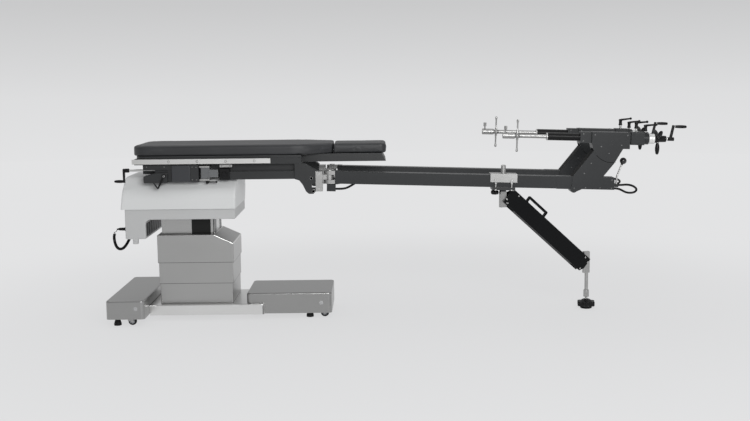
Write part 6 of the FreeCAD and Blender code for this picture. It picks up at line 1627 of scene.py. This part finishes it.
    def rod(self, unit, tag, side, shift):
        """The bright rod with the boot clamp and its knurled knob."""
        z = unit.axis
        bm = bmesh.new()
        join(bm, bar((unit.boot_end + shift, 0, z), (unit.rod_end + shift, 0, z),
                     unit.rod_radius))
        start = Vector((unit.boot + shift, 0, z))
        length = unit.boot_end - unit.boot
        reach = unit.boot_radius
        join(bm, spun([(0.052, 0), (0.052, 0.008), (0.001, 0.008), (0, 0.009),
                       (0, reach - 0.001), (0.001, reach), (length * 0.42, reach),
                       (length * 0.44, reach - 0.001), (length * 0.48, reach - 0.001),
                       (length * 0.5, reach), (length - 0.004, reach), (length, reach - 0.004),
                       (length, 0)], start, start + X_AXIS))
        x = unit.boot_knob + shift
        low = z + reach - 0.001
        join(bm, bar((x, 0, low), (x, 0, low + 0.017), 0.004))
        join(bm, spun([(0, 0), (0, 0.0068), (0.002, 0.0068), (0.002, 0)], (x, 0, low),
                      (x, 0, low + 1)))
        join(bm, lobed(0.009, 0.0009, 16, low + 0.016, z + unit.boot_knob_top, 0.0012, 4), 0,
             Matrix.Translation((x, 0, 0)))
        TractionTools.done("traction_rod_made_" + tag, bm, side, ["rod_steel"],
                           "traction_rod_" + tag, "traction_rod_" + tag)

    def lock_bar(self, unit, tag, side, x):
        """The cross bar with a ball on each end, on its collar."""
        z = unit.axis
        bm = bmesh.new()
        half, reach = unit.collar_half, unit.bar_collar
        join(bm, spun([(-half, 0.0122), (-half, reach * 0.72), (-half * 0.5, reach * 0.95),
                       (0, reach), (half * 0.5, reach * 0.95), (half, reach * 0.72),
                       (half, 0.0122)], (x, 0, z), (x + 1, 0, z)))
        for place in (-half * 1.35, half * 1.35):
            join(bm, spun([(-0.0015, 0.0121), (-0.0015, 0.0128), (0.0015, 0.0128),
                           (0.0015, 0.0121)], (x + place, 0, z), (x + 10, 0, z)), 1)
        for sign in (-1, 1):
            start = Vector((x, 0, z + sign * reach * 0.8))
            end = Vector((x, 0, z + sign * unit.bar_reach))
            length = (end - start).length
            join(bm, spun([(0, 0), (0, 0.0072), (length * 0.12, 0.0068),
                           (length * 0.20, 0.0047), (length * 0.76, 0.0043),
                           (length * 0.93, 0.0068), (length, 0.0070), (length + 0.004, 0.0056),
                           (length + 0.006, 0)], start, end))
        TractionTools.done("boot_lock_bar_made_" + tag, bm, side,
                           ["rod_steel", "groove_and_reflection_black"],
                           "boot_bar_" + tag, "boot_lock_bar_" + tag)

    def crank(self, unit, tag, side):
        z = unit.axis
        top = z + unit.crank_throw
        end = unit.crank_end
        bm = bmesh.new()
        join(bm, bar((unit.crank_start, 0, z), (unit.crank_hub, 0, z), 0.008), 1)
        length = end - unit.crank_hub
        join(bm, spun([(0, 0), (0, 0.0095), (0.0015, 0.011), (length - 0.0015, 0.011),
                       (length, 0.0095), (length, 0)], (unit.crank_hub, 0, z), (end, 0, z)), 0)
        arm = strap((0, 0), (top - z, 0), 0.0108, 0.0085, 0.0, 0.013)
        for vert in arm.verts:
            vert.co.z -= (1 - min(1, max(0, vert.co.x / (top - z)))) * unit.crank_lean
        join(bm, arm, 0, turned_plane((end - 0.0135, 0, z), Z_AXIS, -Y_AXIS))
        join(bm, spun(oval(unit.grip_tip - end - 0.004, 0.0094, 0.0075),
                      (end + 0.004, 0, top), (end + 1, 0, top)), 0)
        join(bm, bar((end - 0.003, 0, top), (end + 0.0045, 0, top), 0.0056), 1)
        TractionTools.done("traction_crank_made_" + tag, bm, side,
                           ["black_plastic", "polished_steel"], "traction_crank_" + tag,
                           "traction_crank_" + tag)

    def lever(self, unit, node, body, side, x, seat, stud, turn):
        """A clamp lever: bright stud, black waisted hub, slim arm with a ball."""
        hub = unit.lever_hub
        reach = unit.lever_radius
        top = stud + hub
        bm = bmesh.new()
        join(bm, bar((0, 0, -0.008), (0, 0, 0.001), 0.004), 1)
        join(bm, spun([(0.0005, 0), (0.0005, 0.0066), (0.001, 0.007), (stud, 0.007),
                       (stud, 0)], (0, 0, 0), Z_AXIS), 1)
        join(bm, spun([(stud, 0), (stud, reach), (stud + 0.002, reach * 1.02),
                       (stud + hub * 0.3, reach * 0.82), (stud + hub * 0.62, reach * 0.80),
                       (top - 0.006, reach * 0.98), (top - 0.0015, reach * 0.92),
                       (top, reach * 0.7), (top, 0)], (0, 0, 0), Z_AXIS), 0)
        root = Vector((0, 0, top - 0.0045))
        tip = root + Vector((unit.lever_length, 0, unit.lever_rise))
        join(bm, tapered(root, tip, 0.0064, 0.0050), 0)
        join(bm, sphere(tip, 0.0078, 16), 0)
        join(bm, spun([(0, 0.0032), (0.0006, 0.0032), (0.0006, 0)], (0, 0, top),
                      (0, 0, top + 1), 12), 1)
        place = Matrix.Translation((x, 0, seat)) @ Matrix.Rotation(turn, 4, "Z")
        bmesh.ops.transform(bm, matrix=place, verts=bm.verts[:])
        TractionTools.done(node + "_made", bm, side, ["black_plastic", "polished_steel"],
                           body, node)

    def release(self, unit, tag, side):
        """The bent bright lever with its black ball."""
        x, z = unit.release_x, unit.release_z
        points = [Vector((x, 0, z)), Vector((x + 0.003, 0, z + 0.053)),
                  Vector((x + 0.036, 0, z + 0.146))]
        bm = bmesh.new()
        hub = 0.009
        join(bm, bar((x, -hub, z), (x, hub, z), hub), 1)
        for first, second in zip(points, points[1:]):
            join(bm, bar(first, second, 0.0052, 0.0001), 1)
        join(bm, sphere(points[1], 0.0052, 16), 1)
        heading = (points[2] - points[1]).normalized()
        foot = points[2] - heading * 0.026
        join(bm, tapered(foot, foot + heading * 0.010, 0.0062, 0.0085), 0)
        join(bm, sphere(points[2], 0.020, 28), 0)
        TractionTools.done("release_lever_made_" + tag, bm, side,
                           ["ball_plastic", "polished_steel"], "release_lever_" + tag,
                           "release_lever_" + tag)


class OPERATING_TABLE_OT_support(bpy.types.Operator):
    """Makes the clamp and the fold-down support leg under the near spar."""
    bl_idname = "operating_table.support"
    bl_label = "Support leg"

    def execute(self, context):
        leg = context.scene.table_support
        place = spar_matrix(-1)
        back = place.inverted()
        dressed("spar_bracket", "cast_silver", "silver_bolts_and_edge_highlight", 0.0016, inlays=[
            ("frame_coat", lambda p, n: (back @ p).z < leg.plate)])
        dressed("support_post", "cast_silver", "silver_bolts_and_edge_highlight", 0.0016)
        dressed("support_arm", "arm_coat", "frame_ribs_and_edge_highlight", 0.001)
        dressed("support_leg", "cast_silver", "silver_bolts_and_edge_highlight", 0.0012)
        self.bracket_nuts(leg)
        self.star_knob(leg)
        self.arm_rivets(leg)
        self.foot(leg)
        return {"FINISHED"}

    def bracket_nuts(self, leg):
        bm = bmesh.new()
        for x in (-1, 1):
            for y in (-1, 1):
                place = Vector((leg.bracket + leg.stud_x * x, leg.stud_y * y, leg.stud_end))
                join(bm, hexagon(place, place + Z_AXIS * 0.007, 0.0085))
                join(bm, bar(place - Z_AXIS * 0.0004, place + Z_AXIS * 0.012, 0.005))
                place.z = -0.0145
                join(bm, hexagon(place, place + Z_AXIS * 0.0065, 0.0085))
        place = Vector((leg.bracket, 0, leg.crown))
        join(bm, spun([(0, 0), (0, 0.0135), (0.003, 0.012), (0.004, 0.009), (0.004, 0)], place,
                      place + Z_AXIS))
        bmesh.ops.transform(bm, matrix=spar_matrix(-1), verts=bm.verts[:])
        settle("bracket_nuts", bm, ["polished_steel"], "spar_near")

    def star_knob(self, leg):
        bm = bmesh.new()
        place = Matrix.Translation((leg.bracket - leg.stud_x, 0, 0))
        join(bm, lobed(0.0245, 0.0048, 5, -0.083, -0.0585, 0.009), 0, place)
        join(bm, tapered((0, 0, -0.060), (0, 0, -0.0545), 0.014, 0.009), 0, place)
        join(bm, bar((0, 0, -0.0545), (0, 0, -0.0372), 0.005), 1, place)
        bmesh.ops.transform(bm, matrix=spar_matrix(-1), verts=bm.verts[:])
        settle("bracket_knob_made", bm, ["black_plastic", "polished_steel"], "bracket_knob",
               replaces=("bracket_knob",))

    def arm_rivets(self, leg):
        """Bright rivets at the ends of the channel arm."""
        bm = bmesh.new()
        for face in (-1, 1):
            for x, z in ((0.018, -0.014), (0.0, 0.0), (leg.arm_length - 0.022, -0.012),
                         (leg.arm_length - 0.035, 0.062), (0.05, 0.064)):
                screw(bm, (x, face * leg.arm_half, z), (0, face, 0), 0.0042, 0.0014)
        place = (swivel_matrix() @ Matrix.Translation((leg.pivot_x, 0, leg.pivot_z))
                 @ Matrix.Rotation(leg.arm_angle, 4, "Y"))
        bmesh.ops.transform(bm, matrix=place, verts=bm.verts[:])
        settle("arm_rivets", bm, ["polished_steel"], "support_arm")

    def foot(self, leg):
        """The rubber pad on its threaded stem, and the lobed wheel that turns it down."""
        place = swivel_matrix() @ Matrix.Translation((leg.axis, 0, 0))
        bm = bmesh.new()
        join(bm, spun([(0, 0), (0, 0.032), (0.003, 0.036), (0.0085, 0.036), (0.010, 0.034),
                       (0.010, 0)]), 0)
        thread = [(0.010, 0), (0.010, 0.0068)]
        for turn in range(34):
            thread += [(0.012 + turn * 0.002, 0.0070), (0.013 + turn * 0.002, 0.0060)]
        thread += [(0.0805, 0.0068), (0.160, 0.0068), (0.160, 0)]
        join(bm, spun(thread), 1)
        bmesh.ops.transform(bm, matrix=place, verts=bm.verts[:])
        settle("support_foot_made", bm, ["rubber", "polished_steel"], "support_foot",
               replaces=("support_foot",))
        bm = bmesh.new()
        join(bm, lobed(leg.wheel + 0.0145, 0.016, 6, leg.wheel_low + 0.004,
                       leg.wheel_top - 0.013, 0.006), 0)
        join(bm, spun([(leg.wheel_low, 0.0072), (leg.wheel_low, 0.034),
                       (leg.wheel_low + 0.006, 0.040), (leg.wheel_top - 0.014, 0.040),
                       (leg.wheel_top - 0.008, 0.031), (leg.wheel_top - 0.003, 0.024),
                       (leg.wheel_top, 0.017), (leg.wheel_top, 0.0072)]), 0)
        bmesh.ops.transform(bm, matrix=place, verts=bm.verts[:])
        settle("foot_handwheel_made", bm, ["black_plastic"], "foot_handwheel",
               replaces=("foot_handwheel",))
        bm = bmesh.new()
        join(bm, hexagon((0, 0, 0.073), (0, 0, 0.098), 0.0185, 0.0015))
        join(bm, spun([(0, 0.0073), (0, 0.013), (0.001, 0.0138), (0.015, 0.0138),
                       (0.016, 0.012), (0.016, 0.0112)], (0, 0, 0.099), (0, 0, 1)))
        bmesh.ops.transform(bm, matrix=place, verts=bm.verts[:])
        settle("leg_nut", bm, ["cast_silver"], "support_leg")


# Stage

def camera_matrix(place, pitch, roll):
    forward = Vector((0, math.cos(pitch), -math.sin(pitch)))
    above = Vector((0, math.sin(pitch), math.cos(pitch)))
    right = Vector((1, 0, 0)) * math.cos(roll) + above * math.sin(roll)
    up = above * math.cos(roll) - Vector((1, 0, 0)) * math.sin(roll)
    matrix = Matrix((right, up, -forward)).transposed().to_4x4()
    matrix.translation = Vector(place)
    return matrix


def grey(level):
    return (level, level * 1.003, level * 1.012, 1.0)


def make_world():
    """Pale air for the camera, and a soft studio with a darker side for reflections."""
    world = bpy.data.worlds.new("studio")
    bpy.context.scene.world = world
    world.use_nodes = True
    tree = world.node_tree
    tree.nodes.clear()
    out = add(tree, "OutputWorld")
    place = add(tree, "TexCoord")
    parts = add(tree, "SeparateXYZ")
    tree.links.new(place.outputs["Generated"], parts.inputs["Vector"])
    seen = add(tree, "ValToRGB")
    shift = add(tree, "MapRange")
    shift.inputs["From Min"].default_value = -0.08
    shift.inputs["From Max"].default_value = 0.30
    tree.links.new(parts.outputs["Z"], shift.inputs["Value"])
    tree.links.new(shift.outputs["Result"], seen.inputs["Fac"])
    stops = seen.color_ramp.elements
    stops[0].position, stops[0].color = 0.0, grey(0.766)
    stops[1].position, stops[1].color = 1.0, grey(0.42)
    for where, level in ((0.16, 0.725), (0.37, 0.590)):
        stop = stops.new(where)
        stop.color = grey(level)
    lit = add(tree, "ValToRGB")
    behind = add(tree, "MapRange")
    behind.inputs["From Min"].default_value = -0.9
    behind.inputs["From Max"].default_value = 0.5
    tree.links.new(parts.outputs["Y"], behind.inputs["Value"])
    tree.links.new(behind.outputs["Result"], lit.inputs["Fac"])
    stops = lit.color_ramp.elements
    stops[0].position, stops[0].color = 0.0, grey(0.17)
    stops[1].position, stops[1].color = 1.0, grey(0.52)
    air = add(tree, "Background")
    studio = add(tree, "Background")
    tree.links.new(seen.outputs["Color"], air.inputs["Color"])
    tree.links.new(lit.outputs["Color"], studio.inputs["Color"])
    path = add(tree, "LightPath")
    choice = add(tree, "MixShader")
    tree.links.new(path.outputs["Is Camera Ray"], choice.inputs["Fac"])
    tree.links.new(studio.outputs[0], choice.inputs[1])
    tree.links.new(air.outputs[0], choice.inputs[2])
    tree.links.new(choice.outputs[0], out.inputs["Surface"])


def make_floor(level):
    """A pale floor whose shade fades into the even air far from the table."""
    bm = bmesh.new()
    bmesh.ops.create_circle(bm, cap_ends=True, segments=96, radius=14.0)
    mesh = bpy.data.meshes.new("floor")
    bm.to_mesh(mesh)
    bm.free()
    floor = bpy.data.objects.new("floor", mesh)
    bpy.context.scene.collection.objects.link(floor)
    material = bpy.data.materials.new("pale_floor")
    material.use_nodes = True
    tree = material.node_tree
    shader = tree.nodes["Principled BSDF"]
    shader.inputs["Roughness"].default_value = 0.8
    shader.inputs["Specular IOR Level"].default_value = 0.1
    place = add(tree, "TexCoord")
    distance = add(tree, "VectorMath", operation="LENGTH")
    tree.links.new(place.outputs["Object"], distance.inputs[0])
    noise = add(tree, "TexNoise", Scale_in=0.6, Detail_in=3.0)
    tree.links.new(place.outputs["Object"], noise.inputs["Vector"])
    tone = add(tree, "Mix", data_type="RGBA")
    tone.inputs["A"].default_value = grey(level)
    tone.inputs["B"].default_value = grey(level * 1.004)
    tree.links.new(noise.outputs["Fac"], tone.inputs["Factor"])
    tree.links.new(tone.outputs["Result"], shader.inputs["Base Color"])
    even = add(tree, "Emission")
    even.inputs["Color"].default_value = grey(0.766)
    fade = add(tree, "MapRange", interpolation_type="SMOOTHERSTEP")
    fade.inputs["From Min"].default_value = 1.0
    fade.inputs["From Max"].default_value = 4.2
    fade.inputs["To Min"].default_value = 0.80
    fade.inputs["To Max"].default_value = 1.0
    tree.links.new(distance.outputs["Value"], fade.inputs["Value"])
    choice = add(tree, "MixShader")
    tree.links.new(fade.outputs["Result"], choice.inputs["Fac"])
    tree.links.new(shader.outputs[0], choice.inputs[1])
    tree.links.new(even.outputs[0], choice.inputs[2])
    tree.links.new(choice.outputs[0], tree.nodes["Material Output"].inputs["Surface"])
    mesh.materials.append(material)


def soft_light(name, place, target, size, power):
    data = bpy.data.lights.new(name, "AREA")
    data.shape = "RECTANGLE"
    data.size, data.size_y = size
    data.energy = power
    lamp = bpy.data.objects.new(name, data)
    bpy.context.scene.collection.objects.link(lamp)
    lamp.location = place
    lamp.rotation_mode = "QUATERNION"
    lamp.rotation_quaternion = (Vector(target) - Vector(place)).to_track_quat("-Z", "Y")
    return lamp


class OPERATING_TABLE_OT_stage(bpy.types.Operator):
    """Makes the pale floor, the soft studio light and the camera."""
    bl_idname = "operating_table.stage"
    bl_label = "Stage"

    def execute(self, context):
        stage = context.scene.table_stage
        scene = context.scene
        scene.view_settings.view_transform = "Standard"
        make_world()
        make_floor(stage.floor)
        soft_light("overhead", (-0.2, 0.3, 3.8), (-0.2, 0.0, 0.6), (7.0, 4.6), stage.key)
        soft_light("front", (1.2, -5.8, 2.7), (-0.5, 0.0, 0.6), (3.6, 1.8),
                   stage.front)
        data = bpy.data.cameras.new("camera")
        data.sensor_width = 36.0
        data.lens = stage.lens
        camera = bpy.data.objects.new("camera", data)
        scene.collection.objects.link(camera)
        camera.matrix_world = camera_matrix(stage.camera, stage.pitch, stage.roll)
        scene.camera = camera
        return {"FINISHED"}


class OPERATING_TABLE_PT_panel(bpy.types.Panel):
    """Lists the steps and the settings in the sidebar."""
    bl_idname = "OPERATING_TABLE_PT_panel"
    bl_label = "Operating Table"
    bl_space_type = "VIEW_3D"
    bl_region_type = "UI"
    bl_category = "Table"

    def draw(self, context):
        for name, kind in SETTINGS:
            settings = getattr(context.scene, name)
            box = self.layout.box()
            for item in kind.__annotations__:
                box.prop(settings, item)
        for step in STEPS:
            self.layout.operator(step.bl_idname)


STEPS = (OPERATING_TABLE_OT_stage, OPERATING_TABLE_OT_cords, OPERATING_TABLE_OT_base,
         OPERATING_TABLE_OT_column, OPERATING_TABLE_OT_housing, OPERATING_TABLE_OT_top,
         OPERATING_TABLE_OT_spars, OPERATING_TABLE_OT_traction, OPERATING_TABLE_OT_support,
         OPERATING_TABLE_OT_pads)
SETTINGS = (("table_finishes", TableFinishes), ("table_sizes", TableSizes),
            ("table_traction", TractionSizes), ("table_support", SupportSizes),
            ("table_stage", StageSettings))


def register():
    for name, kind in SETTINGS:
        bpy.utils.register_class(kind)
        setattr(bpy.types.Scene, name, PointerProperty(type=kind))
    for item in (*STEPS, OPERATING_TABLE_PT_panel):
        bpy.utils.register_class(item)


def unregister():
    for item in reversed((*STEPS, OPERATING_TABLE_PT_panel)):
        bpy.utils.unregister_class(item)
    for name, kind in reversed(SETTINGS):
        delattr(bpy.types.Scene, name)
        bpy.utils.unregister_class(kind)


def main():
    register()
    make_finishes()
    for step in STEPS:
        group, name = step.bl_idname.split(".")
        getattr(getattr(bpy.ops, group), name)()


if __name__ == "__main__":
    main()
